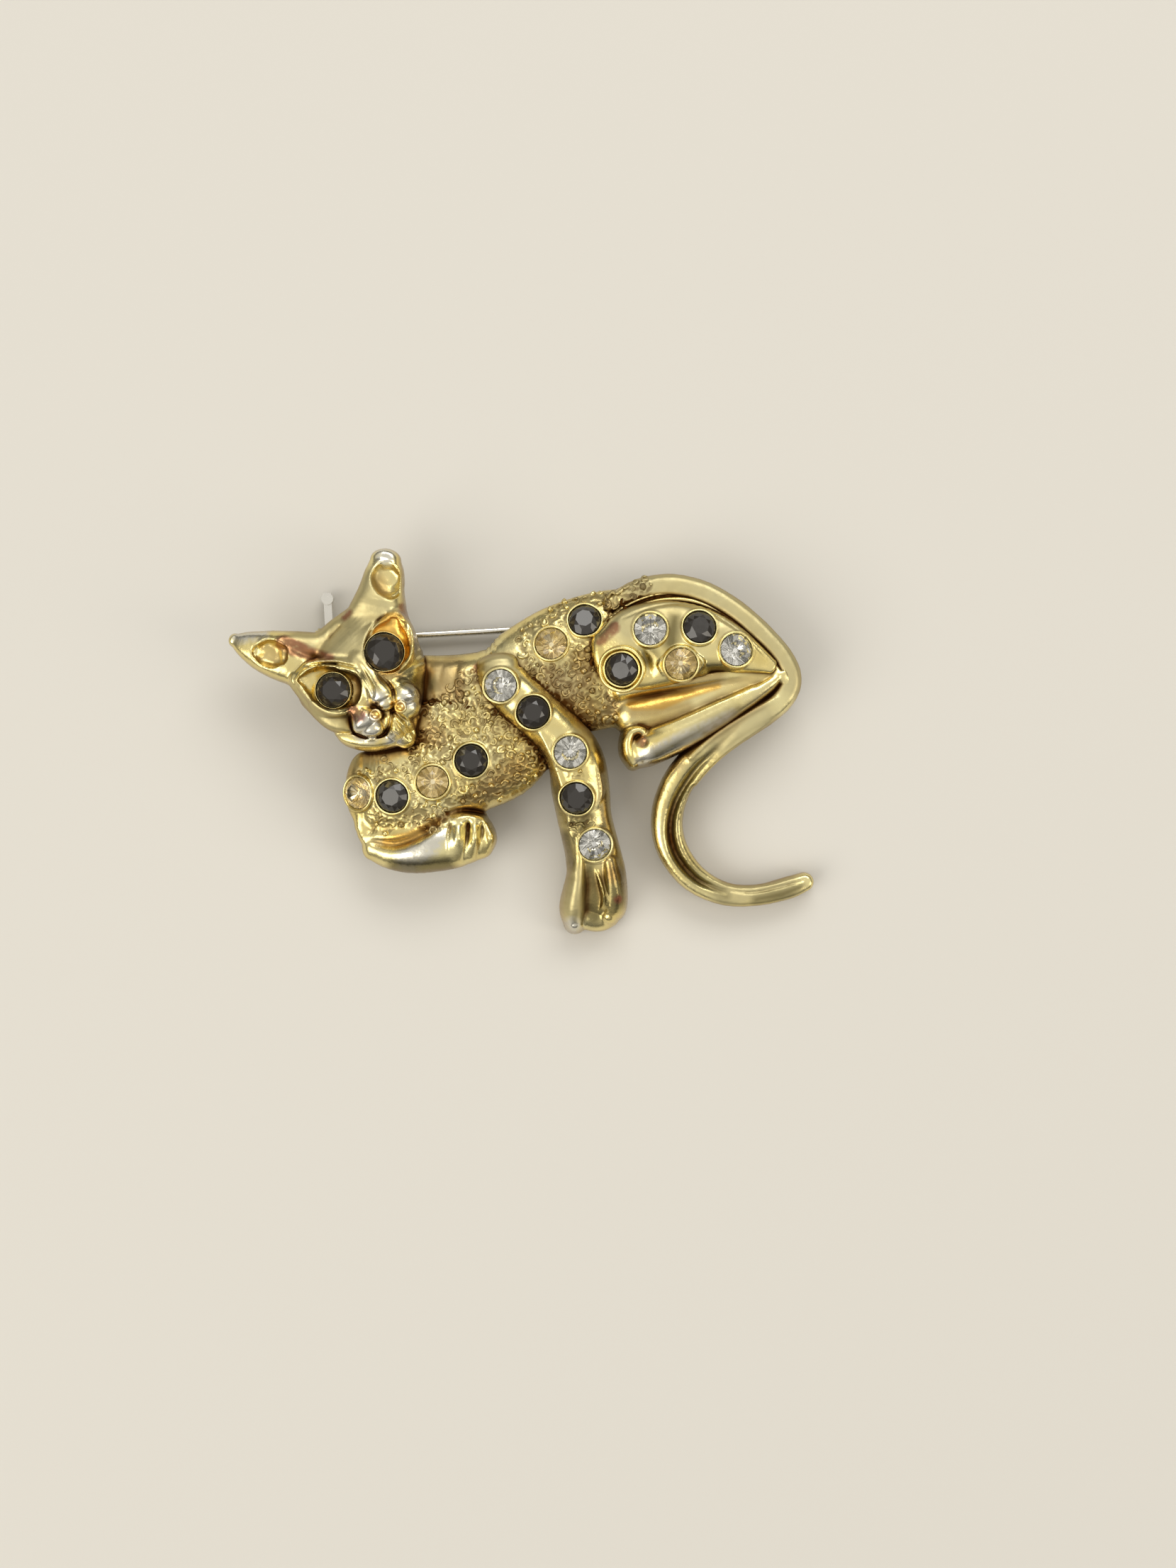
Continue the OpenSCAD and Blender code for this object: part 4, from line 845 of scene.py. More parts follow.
def cast(name, wax):
    """Pours one casting: its skin, the worked ground on it, and the marks that its finish reads, painted shade
    and highlights among them.
    """
    points, faces = wax.skin()
    made = mesh_of(name + "_casting", points, faces)
    normals = normals_of(made)
    # Facing is 1 on what looks up and 0 on a steep flank; front is 0 only on what looks down
    facing = np.clip(normals[:, 2] * 2.2 - 0.4, 0, 1)
    front = np.clip(normals[:, 2] * 2.5 + 1, 0, 1)

    def marked(table, soft):
        return patches(points, table.get(name, []), soft) * front

    ground = marked(BEADED, 0.5) * (1 - marked(PLAIN, 0.5)) * facing
    seam = np.zeros(len(points))
    for stone in STONES:
        x, y = place((stone.x, stone.y))
        past = np.hypot(points[:, 0] - x, points[:, 1] - y) - stone.diameter / 2 - STONE_GAP - wall_of(stone)
        ground *= np.clip(past / GROUND_CLEAR, 0, 1)
        seam = np.maximum(seam, np.clip(1 - np.abs(past - SEAM_AT) / SEAM_W, 0, 1))
    squirm = cloud(points, SQUIRM, 1) + 0.35 * cloud(points, SQUIRM_FINE, 2)
    ridged = 1 - np.minimum(np.abs(squirm) * 3.2, 1)
    rough = SMOOTH_H + PEBBLED_H * marked(PEBBLED, 0.3) + BACK_H * (1 - front)
    lumps = cloud(points, WAVE, 3) * WAVE_H + cloud(points, PEBBLE, 4) * rough
    shift = ground * (GROUND_H * ridged - GROUND_H / 2) + lumps * (1 - ground)
    moved = points + normals * shift[:, None]
    made.data.vertices.foreach_set("co", (moved * MM).ravel())
    # The crease mark is partly tarnish and partly painted shade: it darkens creases, broad hollows and the bed
    # between the granules, with old polish in the seam round each collar
    crease_tarnish_and_shade = np.clip((sampled(crowding_near, points + normals * FEEL_NEAR) - 0.36) / 0.3, 0, 1)
    deep = np.clip((sampled(crowding_far, points + normals * FEEL_FAR) - 0.40) / 0.3, 0, 1)
    # Steep sides are painted darker and browner: painted shade and dark reflection on the flanks
    side = np.clip((0.55 - normals[:, 2]) / 0.5, 0, 1) * np.clip(normals[:, 2] * 2.5 + 2, 0, 1)
    mark(made, "crease_tarnish_and_shade", np.clip(crease_tarnish_and_shade * 0.7 + deep * 0.7, 0, 1) * (1 - 0.4 * ground)
         + ground * (0.62 - 0.45 * ridged) + 0.5 * seam * front)
    mark(made, "ground", np.minimum(2 * ground, 1))
    mark(made, "gilded", np.maximum(marked(GILDED, 0.3), deep * 0.8))
    mark(made, "painted_flank_shade", np.maximum(side, 0.85 * marked(PAINTED_SHADE_PATCHES, 0.9)))
    # Silvered: worn white metal and partly painted highlight
    for label, table, soft in (("silvered", SILVER_WEAR_AND_HIGHLIGHT, 1.0), ("rubbed", RUBBED, 1.2), ("copper_and_red_shade", COPPER_AND_RED_SHADE, 0.5)):
        mark(made, label, marked(table, soft))
    # Toned: olive tarnish and painted shade, with painted shade on everything that looks down
    mark(made, "olive_tarnish_and_shade", np.maximum(marked(TARNISH_AND_SHADE_PATCHES, 0.9), 0.3 * (1 - front)))
    return made


castings = {}
for name, wax in CASTS.items():
    castings[name] = cast(name, wax)
    print(name, len(castings[name].data.polygons), "faces")


# Finishes. The scale of a noise is given as one over the size of its patches in metres
def paint(code):
    """An sRGB hex colour as linear RGBA."""
    parts = [int(code[i:i + 2], 16) / 255 for i in (1, 3, 5)]
    return tuple(c / 12.92 if c <= 0.04045 else ((c + 0.055) / 1.055) ** 2.4 for c in parts) + (1.0,)


def feed(tree, node, inputs):
    """Links or sets a node's inputs."""
    for key, value in inputs.items():
        if isinstance(value, bpy.types.NodeSocket):
            tree.links.new(value, node.inputs[key])
        else:
            node.inputs[key].default_value = value


def add(tree, kind, inputs=None, **settings):
    """Adds a node with its settings, and links or sets its inputs."""
    made = tree.nodes.new(kind)
    for key, value in settings.items():
        setattr(made, key, value)
    feed(tree, made, inputs or {})
    return made


def finish(name):
    """A new material, its tree and its shader."""
    material = bpy.data.materials.new(name)
    material.use_nodes = True
    tree = material.node_tree
    return material, tree, tree.nodes["Principled BSDF"]


def gilt_plate():
    """Pale gold plate over cast white metal, hand polished and long worn. It gives soft, slightly wavy
    reflections: champagne where it is rubbed, deeper gold in the cups and hollows, brown in the creases, partly
    as tarnish and partly as painted shade. Painted shade also darkens the flanks, the undersides and shaded
    patches, and painted highlights and reddish reflections sit in some of the worn patches."""
    material, tree, shader = finish("gold_plated_white_metal")
    where = add(tree, "ShaderNodeTexCoord").outputs["Object"]
    broad = add(tree, "ShaderNodeTexNoise", {"Vector": where, "Scale": 1 / 0.005, "Detail": 3.0}).outputs["Fac"]
    fine = add(tree, "ShaderNodeTexNoise", {"Vector": where, "Scale": 1 / 0.0006, "Detail": 4.0}).outputs["Fac"]
    hue = add(tree, "ShaderNodeValToRGB", {"Fac": broad})
    hue.color_ramp.elements[0].position = 0.3
    hue.color_ramp.elements[0].color = paint("#e2cd84")
    hue.color_ramp.elements[1].position = 0.7
    hue.color_ramp.elements[1].color = paint("#ece1aa")
    marks = {name: add(tree, "ShaderNodeAttribute", attribute_name=name).outputs["Fac"]
             for name in ("crease_tarnish_and_shade", "gilded", "painted_flank_shade", "silvered", "copper_and_red_shade", "olive_tarnish_and_shade", "rubbed")}
    for name in ("silvered", "copper_and_red_shade"):
        patchy = add(tree, "ShaderNodeMath", {0: marks[name], 1: fine}, operation="MULTIPLY").outputs[0]
        marks[name] = add(tree, "ShaderNodeMapRange", {
            "Value": patchy, "From Min": 0.05, "From Max": 0.42}).outputs[0]
    marks["pale"] = marks["rubbed"]
    marks["crease_tarnish_and_shade"] = add(tree, "ShaderNodeMapRange", {
        "Value": marks["crease_tarnish_and_shade"], "From Min": 0.2, "From Max": 0.9}).outputs[0]
    for name, most in (("painted_flank_shade", 0.6), ("olive_tarnish_and_shade", 0.85), ("gilded", 0.85), ("copper_and_red_shade", 0.75), ("pale", 0.75)):
        marks[name] = add(tree, "ShaderNodeMath", {0: marks[name], 1: most}, operation="MULTIPLY").outputs[0]
    skin = hue.outputs["Color"]
    # Colours laid over the gold: pale and gilded are wear; silvered and coppery are wear with painted highlight
    # and reddish reflection; toned and crease are tarnish and painted shade; flank is painted shade
    for name, code in (("pale", "#b2a880"), ("gilded", "#e3b455"), ("silvered", "#d9d5c6"), ("olive_tarnish_and_shade", "#6d6340"),
                       ("copper_and_red_shade", "#8a4a3a"), ("painted_flank_shade", "#94703e"), ("crease_tarnish_and_shade", "#4c2e10")):
        skin = add(tree, "ShaderNodeMix", {0: marks[name], 6: skin, 7: paint(code)}, data_type="RGBA").outputs[2]
    rough = add(tree, "ShaderNodeMapRange", {
        "Value": fine, "From Min": 0.3, "From Max": 0.7, "To Min": 0.2, "To Max": 0.3}).outputs[0]
    for name, more in (("crease_tarnish_and_shade", 0.25), ("rubbed", 0.22)):
        rough = add(tree, "ShaderNodeMath", {
            0: marks[name], 1: more, 2: rough}, operation="MULTIPLY_ADD").outputs[0]
    waves = add(tree, "ShaderNodeTexNoise", {"Vector": where, "Scale": 1 / 0.0012, "Detail": 2.0}).outputs["Fac"]
    pits = add(tree, "ShaderNodeTexNoise", {"Vector": where, "Scale": 1 / 0.00018, "Detail": 2.0}).outputs["Fac"]
    bump = add(tree, "ShaderNodeBump", {"Height": waves, "Strength": 1.0, "Distance": 0.00004})
    bump_fine = add(tree, "ShaderNodeBump", {
        "Height": pits, "Strength": 1.0, "Distance": 0.00001, "Normal": bump.outputs["Normal"]})
    feed(tree, shader, {
        "Base Color": skin, "Roughness": rough, "Metallic": 1.0, "Normal": bump_fine.outputs["Normal"]})
    return material


def plated_steel():
    """Drawn steel wire and turned catch, nickel plated: bright grey with fine marks along it."""
    material, tree, shader = finish("nickel_plated_steel")
    where = add(tree, "ShaderNodeTexCoord").outputs["Object"]
    fine = add(tree, "ShaderNodeTexNoise", {"Vector": where, "Scale": 1 / 0.0003, "Detail": 3.0}).outputs["Fac"]
    rough = add(tree, "ShaderNodeMapRange", {"Value": fine, "To Min": 0.16, "To Max": 0.36}).outputs[0]
    bump = add(tree, "ShaderNodeBump", {"Height": fine, "Strength": 1.0, "Distance": 0.00001})
    feed(tree, shader, {
        "Base Color": paint("#dedbd2"), "Roughness": rough, "Metallic": 1.0, "Normal": bump.outputs["Normal"]})
    return material


def paste_glass(name, tint):
    """Lead paste, cut and polished: clear, with sharp facet edges."""
    material, tree, shader = finish(name)
    feed(tree, shader, {"Base Color": paint(tint), "Transmission Weight": 1.0, "IOR": 1.58, "Roughness": 0.0})
    return material


def foil(name, bright, dull, roughness):
    """The silvering on the back of a paste stone. Its facets are painted bright and dull by turns: painted
    reflections that give the eye a star with eight rays."""
    material, tree, shader = finish(name)
    where = add(tree, "ShaderNodeTexCoord").outputs["Object"]
    spots = add(tree, "ShaderNodeTexNoise", {"Vector": where, "Scale": 1 / 0.0007, "Detail": 2.0}).outputs["Fac"]
    rough = add(tree, "ShaderNodeMapRange", {
        "Value": spots, "To Min": roughness / 2, "To Max": roughness}).outputs[0]
    # The facet mark holds each facet's painted brightness
    facet = add(tree, "ShaderNodeAttribute", attribute_name="facet").outputs["Fac"]
    painted_glint_tone = add(tree, "ShaderNodeMix", {0: facet, 6: paint(dull), 7: paint(bright)}, data_type="RGBA").outputs[2]
    feed(tree, shader, {"Base Color": painted_glint_tone, "Roughness": rough, "Metallic": 1.0})
    return material


def jet_glass():
    """Black pressed glass, its facets fire polished: near black, with clear grey reflections."""
    material, tree, shader = finish("jet_black_glass")
    where = add(tree, "ShaderNodeTexCoord").outputs["Object"]
    smear = add(tree, "ShaderNodeTexNoise", {"Vector": where, "Scale": 1 / 0.0009, "Detail": 2.0}).outputs["Fac"]
    rough = add(tree, "ShaderNodeMapRange", {"Value": smear, "To Min": 0.03, "To Max": 0.12}).outputs[0]
    feed(tree, shader, {"Base Color": paint("#28241f"), "Roughness": rough, "IOR": 1.6})
    return material


gilt = gilt_plate()
steel = plated_steel()
jet = jet_glass()
bright_glass = paste_glass("clear_paste_glass", "#fbfbfa")
aged_glass = paste_glass("yellowed_paste_glass", "#fdf8e8")
bright_foil = foil("silver_foil", "#fffefa", "#a3a29c", 0.1)
aged_foil = foil("yellowed_foil", "#fff4d6", "#b9a87c", 0.24)

for made in castings.values():
    made.data.materials.append(gilt)


# The granules: beads, curls and worms of metal strewn over the beaded ground
def worm(name, turns, radius, fat):
    """A low worm of metal with rounded ends, bent to part of a turn about a radius, and fat in half width."""
    along, around = 9, 6
    points, faces = [], []
    for j in range(along):
        share = j / (along - 1)
        a = 2 * math.pi * turns * share
        thick = fat * math.sqrt(max(1 - (2 * share - 1) ** 4, 0.04))
        for i in range(around):
            b = 2 * math.pi * i / around
            out = radius + thick * math.cos(b)
            points.append((out * math.cos(a), out * math.sin(a), thick * math.sin(b)))
    for j in range(along - 1):
        for i in range(around):
            k = (i + 1) % around
            faces.append((j * around + i, (j + 1) * around + i, (j + 1) * around + k, j * around + k))
    faces += [tuple(range(around)), tuple(range((along - 1) * around, along * around))[::-1]]
    return mesh_of(name, np.array(points) / MM, faces)


def bead(name, radius):
    """A round bead, cut to a few faces."""
    around, up = 8, 4
    points = [(radius * math.sin(math.pi * j / up) * math.cos(2 * math.pi * i / around),
               radius * math.sin(math.pi * j / up) * math.sin(2 * math.pi * i / around),
               radius * math.cos(math.pi * j / up)) for j in range(1, up) for i in range(around)]
    top, low = len(points), len(points) + 1
    points += [(0, 0, radius), (0, 0, -radius)]
    last = (up - 2) * around
    faces = []
    for i in range(around):
        k = (i + 1) % around
        faces += [(top, i, k), (low, last + k, last + i)]
        faces += [(j * around + i, (j + 1) * around + i, (j + 1) * around + k, j * around + k)
                  for j in range(up - 2)]
    return mesh_of(name, np.array(points) / MM, faces)


# Grain shapes, in order of name; their measures are shares of the granules' size
grains = bpy.data.collections.new("grain_shapes")
GRAINS = [bead("a_bead", 0.8), worm("b_curl", 0.85, 0.8, 0.38), worm("c_worm", 0.5, 1.0, 0.42),
          worm("d_hook", 0.75, 0.85, 0.36), bead("e_bead", 0.65), worm("f_curl", 0.9, 0.75, 0.36)]
for shape in GRAINS:
    shape.data.materials.append(gilt)
    bpy.context.scene.collection.objects.unlink(shape)
    grains.objects.link(shape)


# Least way between two granules and their usual size, in metres
GRANULE_SPACING = 0.00076
GRANULE_SIZE = 0.0004


def socket(tree, name, kind, value):
    """Gives a tree an input with a usual value, and returns what a modifier calls it."""
    made = tree.interface.new_socket(name=name, in_out="INPUT", socket_type=kind)
    made.default_value = value
    return made.identifier


def granule_tree():
    """A tree that strews granules over the beaded ground of a casting, and what a modifier calls its seed."""
    tree = bpy.data.node_groups.new("granules", "GeometryNodeTree")
    tree.interface.new_socket(name="Geometry", in_out="INPUT", socket_type="NodeSocketGeometry")
    socket(tree, "Spacing", "NodeSocketFloat", GRANULE_SPACING)
    socket(tree, "Size", "NodeSocketFloat", GRANULE_SIZE)
    seed_name = socket(tree, "Seed", "NodeSocketInt", 1)
    tree.interface.new_socket(name="Geometry", in_out="OUTPUT", socket_type="NodeSocketGeometry")
    given = add(tree, "NodeGroupInput").outputs
    ground = add(tree, "GeometryNodeInputNamedAttribute", {"Name": "ground"}, data_type="FLOAT")
    strewn = add(tree, "GeometryNodeDistributePointsOnFaces", {
        "Mesh": given["Geometry"], "Distance Min": given["Spacing"], "Density Max": 2.0e7,
        "Density Factor": ground.outputs["Attribute"], "Seed": given["Seed"]}, distribute_method="POISSON")
    shapes = add(tree, "GeometryNodeCollectionInfo", {
        "Collection": grains, "Separate Children": True, "Reset Children": True})
    pick = add(tree, "FunctionNodeRandomValue", {
        "Seed": given["Seed"], 4: 0, 5: len(GRAINS) - 1}, data_type="INT")
    spin = add(tree, "FunctionNodeRandomValue", {"Seed": 3, 2: 0, 3: 2 * math.pi}, data_type="FLOAT")
    turn = add(tree, "ShaderNodeCombineXYZ", {"Z": spin.outputs[1]})
    placed = add(tree, "FunctionNodeRotateRotation", {
        "Rotation": strewn.outputs["Rotation"], "Rotate By": turn.outputs[0]}, rotation_space="LOCAL")
    grow = add(tree, "FunctionNodeRandomValue", {"Seed": 5, 2: 0.7, 3: 1.25}, data_type="FLOAT")
    size = add(tree, "ShaderNodeMath", {0: grow.outputs[1], 1: given["Size"]}, operation="MULTIPLY")
    spread = add(tree, "GeometryNodeInstanceOnPoints", {
        "Points": strewn.outputs["Points"], "Instance": shapes.outputs[0], "Pick Instance": True,
        "Instance Index": pick.outputs[2], "Rotation": placed.outputs[0], "Scale": size.outputs[0]})
    solid = add(tree, "GeometryNodeRealizeInstances", {"Geometry": spread.outputs[0]})
    coated = add(tree, "GeometryNodeSetMaterial", {"Geometry": solid.outputs[0], "Material": gilt})
    add(tree, "NodeGroupOutput", {"Geometry": coated.outputs[0]})
    return tree, seed_name


def plain_mesh(made, name):
    """The evaluated mesh of an object, as a new plain object."""
    shown = made.evaluated_get(bpy.context.evaluated_depsgraph_get())
    mesh = bpy.data.meshes.new_from_object(shown)
    mesh.name = name
    return stood(name, mesh)


# How far granules are bent out of true, and over what length
CRUMPLE_BY = 0.13
CRUMPLE = 0.7


def crumpled(made):
    """Bends the granules out of true, each its own way."""
    points = np.zeros(len(made.data.vertices) * 3)
    made.data.vertices.foreach_get("co", points)
    points = points.reshape(-1, 3) / MM
    bent = points + CRUMPLE_BY * np.stack([cloud(points, CRUMPLE, 10 + axis) for axis in range(3)], 1)
    made.data.vertices.foreach_set("co", (bent * MM).ravel())
    return made


strewing, seed_name = granule_tree()
granules = {}
for count, name in enumerate(("chest", "trunk", "tail", "foreleg")):
    bed = stood("bed", castings[name].data)
    nodes = bed.modifiers.new("granules", "NODES")
    nodes.node_group = strewing
    nodes[seed_name] = SEED + count
    granules[name] = crumpled(plain_mesh(bed, name + "_granules"))
    bpy.data.objects.remove(bed)
    print(name, "granules", len(granules[name].data.polygons), "faces")


# The collars: a turned ring round each stone
def ring_mesh(profile, around, seat, wobble, seed):
    """Points and faces of a closed ring, turned a little out of true about a seat's axis from its profile of
    radius and height."""
    spin = np.random.RandomState(seed)
    waves = [(spin.uniform(-1, 1), spin.uniform(0, 2 * math.pi), n) for n in (2, 3, 5)]
    points, faces = [], []
    for i in range(around):
        a = 2 * math.pi * i / around
        off = wobble * sum(w * math.sin(n * a + p) for w, p, n in waves)
        for r, z in profile:
            out = r * (1 + off)
            points.append(seat @ Vector((out * math.cos(a), out * math.sin(a), z * (1 + off))))
    n = len(profile)
    for i in range(around):
        here, ahead = i * n, (i + 1) % around * n
        for j in range(n):
            k = (j + 1) % n
            faces.append((here + j, ahead + j, ahead + k, here + k))
    return points, faces


def joined(parts):
    """The points and faces of several parts as those of one."""
    points, faces = [], []
    for part_points, part_faces in parts:
        faces += [tuple(k + len(points) for k in face) for face in part_faces]
        points += [tuple(p) for p in part_points]
    return points, faces


# How far a collar's foot is under its stone's girdle, and the profile of the raised ring round the first stone
# of the thigh
COLLAR_FOOT = 0.9
RAISED_RING = [(2.35, -0.7), (2.33, 0.02), (2.25, 0.14), (2.12, 0.18), (2.0, 0.12), (1.95, -0.7)]


def collars():
    """Every stone's collar and the raised ring as one piece."""
    parts = []
    for index, stone in enumerate(STONES):
        r = stone.diameter / 2 + STONE_GAP
        wall = wall_of(stone)
        out = r + wall
        lip = min(COLLAR_LIP, wall)
        profile = [(out, -COLLAR_FOOT), (out - 0.05 * wall, -0.1), (out - 0.2 * wall, lip - 0.06),
                   (out - 0.45 * wall, lip), (out - 0.7 * wall, lip - 0.02), (r + 0.01, lip - 0.1), (r, -0.2),
                   (r, -COLLAR_FOOT)]
        parts.append(ring_mesh(profile, 48, seat_of(stone), 0.008, index))
        if stone.node == "thigh_stone_1":
            parts.append(ring_mesh(RAISED_RING, 56, seat_of(stone), 0.01, index))
    made = mesh_of("stone_collars", *joined(parts))
    made.data.materials.append(gilt)
    return made


stone_collars = collars()


# The stones. Shares of a stone's radius for its table, its stars and its culet, and of its crown for the stars
TABLE_R = 0.56
STAR_R = 0.76
STAR_H = 0.66
CULET_R = 0.16
GLASS = {"jet": [jet], "bright": [bright_glass, bright_foil], "aged": [aged_glass, aged_foil]}


def brilliant(stone):
    """A round paste stone: table, stars, kites and breaks over a faceted back, silvered if the stone is clear."""
    r = stone.diameter / 2
    top = stone.diameter * CROWN
    points = []

    def ring(radius, z, count, turn=0):
        start = len(points)
        for i in range(count):
            a = 2 * math.pi * (i + turn) / count
            points.append((radius * math.cos(a), radius * math.sin(a), z))
        return list(range(start, start + count))

    table = ring(r * TABLE_R, top, 8)
    stars = ring(r * STAR_R, top * STAR_H, 8, 0.5)
    upper = ring(r, GIRDLE / 2, 16)
    lower = ring(r, -GIRDLE / 2, 16)
    culet = ring(r * CULET_R, -stone.diameter * PAVILION, 8)
    front, back = [tuple(table)], []
    for i in range(8):
        k = (i + 1) % 8
        a, b, c = upper[2 * i], upper[2 * i + 1], upper[2 * k]
        front += [(table[i], stars[i], table[k]), (table[i], stars[i - 1], a, stars[i]),
                  (stars[i], a, b), (stars[i], b, c)]
        a, b, c = lower[2 * i], lower[2 * i + 1], lower[2 * k]
        back += [(a, culet[i], b), (b, culet[i], culet[k]), (b, culet[k], c)]
    front += [(upper[i], lower[i], lower[(i + 1) % 16], upper[(i + 1) % 16]) for i in range(16)]
    back.append(tuple(reversed(culet)))
    faces = front + back

    # Each stone sits turned in its setting by an angle of its own
    put = seat_of(stone) @ Matrix.Rotation(stone.lean * 1.7, 4, "Z")
    made = mesh_of(stone.node + "_cut", [tuple(put @ Vector(p)) for p in points], faces, smooth=False)
    # Each facet gets a painted brightness, bright and dull by turns, for the foil's painted star
    glint = np.random.RandomState(len(stone.node) + int(stone.lean))
    painted_facet_glints = [glint.uniform(0.6, 1) if n % 2 else glint.uniform(0, 0.4) for n in range(len(faces))]
    tones = made.data.attributes.new("facet", "FLOAT", "FACE")
    tones.data.foreach_set("value", np.array(painted_facet_glints, np.float32))
    for glass in GLASS[stone.finish]:
        made.data.materials.append(glass)
    if stone.finish != "jet":
        made.data.polygons.foreach_set("material_index", [0] * len(front) + [1] * len(back))
    return made


stones = {stone.node: brilliant(stone) for stone in STONES}


# The hinge's ears and the catch's housing, soldered to the back: their foot reaches this high over the stem
FOOT = BACK_Z - STEM_Z + SINK
EAR_HOLE_R = 0.4
EAR_THICK = 0.7
EAR_OFF = 0.9
HOUSING_IN_R = 0.8
HOUSING_OUT_R = 1.2
HOUSING_THICK = 0.6
HOUSING_OFF = 0.8
MOUTH_HALF = 0.4
BLOCK_HALF_W = 0.8
BLOCK_HALF_L = 1.1


def outline(angles, radius, half=0.0):
    """Points round the stem's line, and over it out to a block of that half width up to the foot."""
    points = []
    for a in angles:
        c, s = math.cos(a), math.sin(a)
        r = max(radius, min(half / max(abs(c), 1e-6), FOOT / s)) if s > 0 else radius
        points.append((r * c, r * s))
    return points


def round_mouth(radius):
    """Angles round the stem's line, from one side of the mouth under it to the other."""
    low = math.asin(MOUTH_HALF / radius)
    return [-math.pi / 2 + low + i / 48 * (2 * math.pi - 2 * low) for i in range(49)]


def plate_ring(inner, outer, thick, frame_at, closed=True):
    """Points and faces of a flat plate between two outlines in its own x and z, centred on y."""
    points, faces = [], []
    n = len(inner)
    for y in (-thick / 2, thick / 2):
        for line in (inner, outer):
            points += [frame_at @ Vector((x, y, z)) for x, z in line]
    for i in range(n if closed else n - 1):
        k = (i + 1) % n
        faces += [(i, n + i, n + k, k), (2 * n + i, 2 * n + k, 3 * n + k, 3 * n + i),
                  (n + i, 3 * n + i, 3 * n + k, n + k), (i, k, 2 * n + k, 2 * n + i)]
    if not closed:
        faces += [(0, 2 * n, 3 * n, n), (n - 1, 2 * n - 1, 4 * n - 1, 3 * n - 1)]
    return points, faces


def fittings():
    """The two hinge ears, the two catch rings and the block under them, as one piece."""
    hinge, catch = place(HINGE_AT), place(CATCH_AT)
    line = catch - hinge
    turn = Matrix.Rotation(math.atan2(line[1], line[0]), 4, "Z")
    at_hinge = Matrix.Translation((hinge[0], hinge[1], STEM_Z)) @ turn
    at_catch = Matrix.Translation((catch[0], catch[1], STEM_Z)) @ turn
    across = Matrix.Rotation(math.radians(90), 4, "Z")
    angles = [2 * math.pi * i / 64 for i in range(64)]
    ear = [outline(angles, EAR_HOLE_R), outline(angles, STEM_Z, STEM_Z)]
    housing = [outline(round_mouth(HOUSING_IN_R), HOUSING_IN_R),
               outline(round_mouth(HOUSING_OUT_R), HOUSING_OUT_R, BLOCK_HALF_W)]
    parts = [plate_ring(*ear, EAR_THICK, at_hinge @ Matrix.Translation((0, side * EAR_OFF, 0)))
             for side in (-1, 1)]
    parts += [plate_ring(*housing, HOUSING_THICK,
                         at_catch @ Matrix.Translation((side * HOUSING_OFF, 0, 0)) @ across, closed=False)
              for side in (-1, 1)]
    block = product((-BLOCK_HALF_L, BLOCK_HALF_L), (-BLOCK_HALF_W, BLOCK_HALF_W), (HOUSING_OUT_R, FOOT))
    parts.append(([at_catch @ Vector(corner) for corner in block],
                  [(0, 1, 3, 2), (4, 6, 7, 5), (0, 4, 5, 1), (2, 3, 7, 6), (0, 2, 6, 4), (1, 5, 7, 3)]))
    points, faces = joined(parts)
    made = mesh_of("pin_fittings", points, faces, smooth=False)
    # The fittings are darkened evenly through the crease mark
    mark(made, "crease_tarnish_and_shade", [0.35] * len(points))
    made.data.materials.append(gilt)
    return made


pin_fittings = fittings()

# Every piece rides on its body, the nodes of the frame that the pieces replace are hidden, and the pin's nodes
# take the steel
for made in list(castings.values()) + list(granules.values()) + [stone_collars, pin_fittings]:
    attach(made, "brooch")
    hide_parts("casting")
for node, made in stones.items():
    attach(made, "brooch")
    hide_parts(node)
for node in ("hinge_rivet", "pin_stem", "catch_barrel"):
    mesh = frame["nodes"][node].data
    mesh.materials.clear()
    mesh.materials.append(steel)

for shape in list(grains.objects):
    bpy.data.objects.remove(shape)
bpy.data.collections.remove(grains)

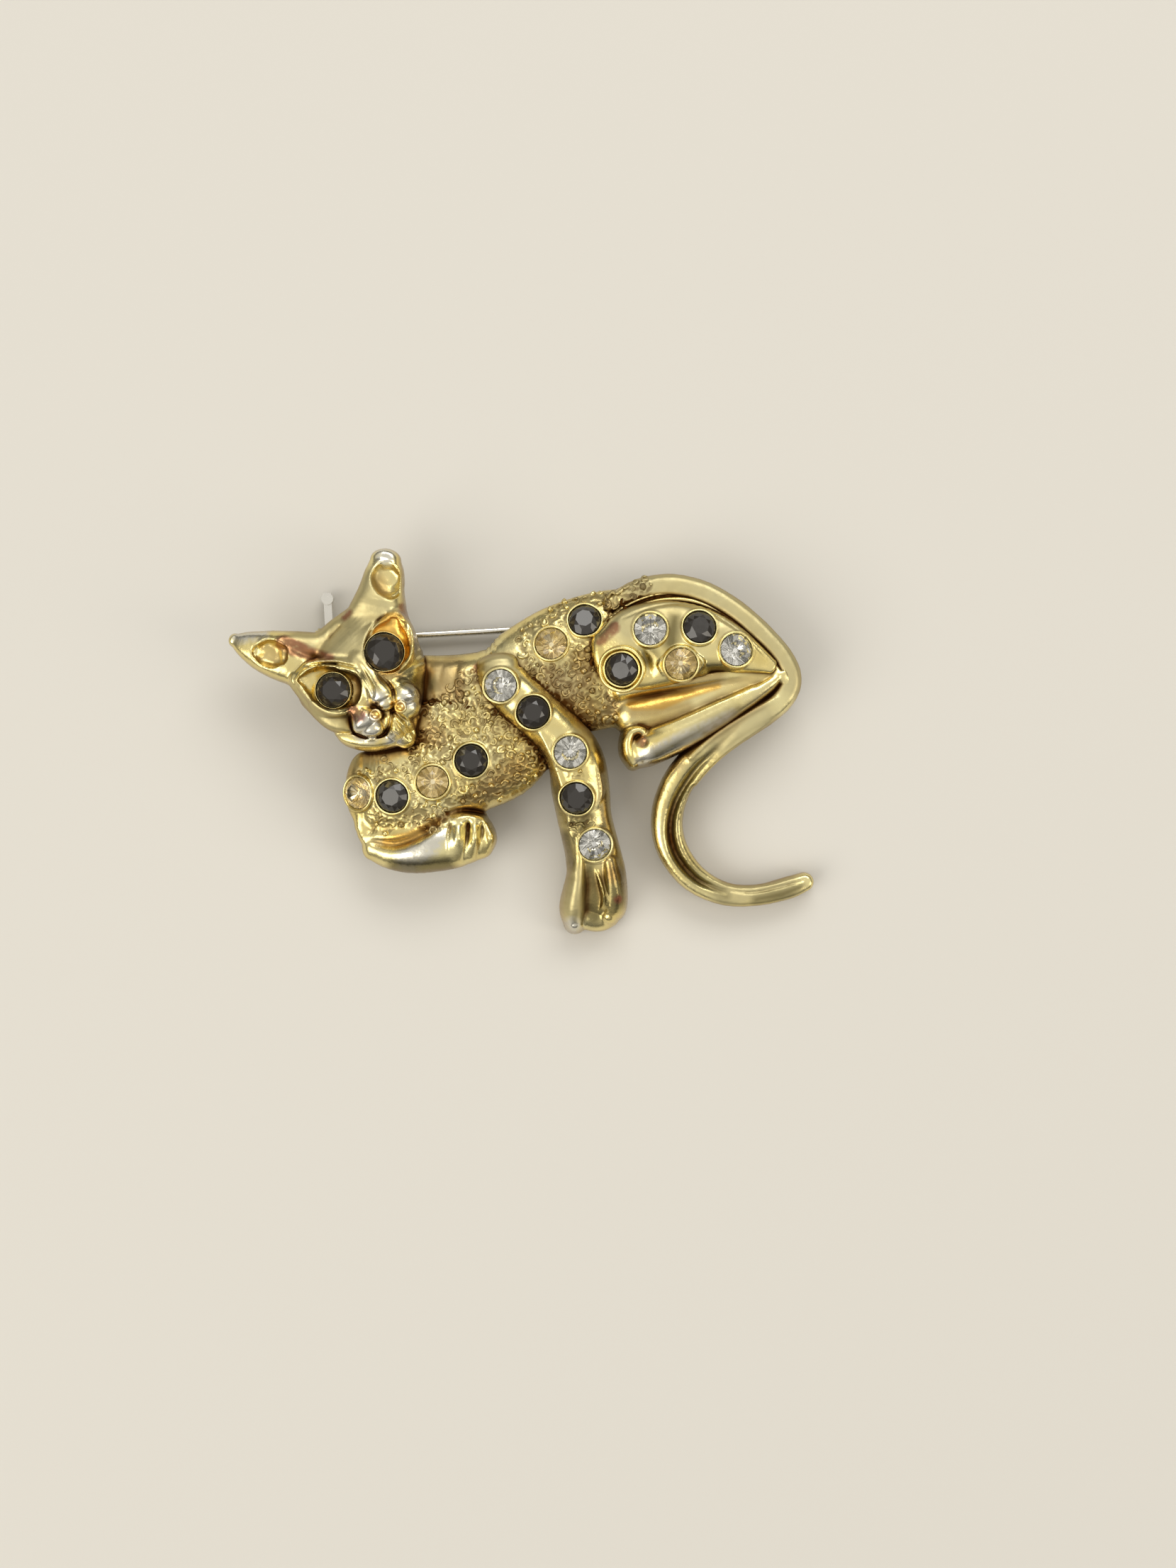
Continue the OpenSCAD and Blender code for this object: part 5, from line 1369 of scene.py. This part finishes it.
# The studio: a plain pale floor, soft lights and a camera straight above, as the photograph was taken
FLOOR = 1500
corners = [(-FLOOR, -FLOOR, 0), (FLOOR, -FLOOR, 0), (FLOOR, FLOOR, 0), (-FLOOR, FLOOR, 0)]
floor = mesh_of("floor", corners, [(0, 1, 2, 3)], smooth=False)
paper, tree, shader = finish("pale_paper")
feed(tree, shader, {"Base Color": paint("#cbc8c1"), "Roughness": 0.8})
floor.data.materials.append(paper)


def soft_light(name, place_at, size, power, tint):
    """A soft light from a rectangle that points at the middle of the brooch and isn't seen itself."""
    data = bpy.data.lights.new(name, "AREA")
    data.shape = "RECTANGLE"
    data.size, data.size_y = size
    data.energy = power
    data.color = paint(tint)[:3]
    made = stood(name, data)
    made.location = place_at
    made.rotation_euler = (Vector((0, 0, 0.005)) - Vector(place_at)).to_track_quat("-Z", "Y").to_euler()
    made.visible_camera = False


soft_light("window", (-0.36, -0.20, 0.40), (0.42, 0.42), 1.6, "#fffaf0")
soft_light("ceiling", (0.12, 0.42, 0.42), (0.50, 0.26), 1.5, "#fffdf8")
soft_light("side", (0.42, -0.12, 0.26), (0.16, 0.34), 0.5, "#fff6e6")

# Soft light from overhead that falls off towards the walls of the room
world = bpy.data.worlds.new("studio")
bpy.context.scene.world = world
world.use_nodes = True
sky = world.node_tree
upward = add(sky, "ShaderNodeSeparateXYZ", {0: add(sky, "ShaderNodeTexCoord").outputs["Generated"]}).outputs["Z"]
glow = add(sky, "ShaderNodeMapRange", {
    "Value": upward, "From Min": 0.1, "From Max": 0.85, "To Min": 0.16,
    "To Max": 0.85}, interpolation_type="SMOOTHSTEP").outputs[0]
feed(sky, sky.nodes["Background"], {"Color": paint("#fbf8f2"), "Strength": glow})

# The camera stands where the lens stood; the photograph shows this many millimetres from top to bottom
FRAME_H = 155.8
SENSOR = 36.0
camera_data = bpy.data.cameras.new("camera")
camera = stood("camera", camera_data)
camera_xy = place(LENS_XY)
camera.location = (camera_xy[0] * MM, camera_xy[1] * MM, LENS_Z * MM)
camera_data.sensor_width = SENSOR
camera_data.lens = SENSOR / 2 / (FRAME_H / 2 / (LENS_Z - FLAT_Z))
camera_data.clip_start = 0.01
bpy.context.scene.camera = camera
bpy.context.scene.view_settings.view_transform = "Standard"
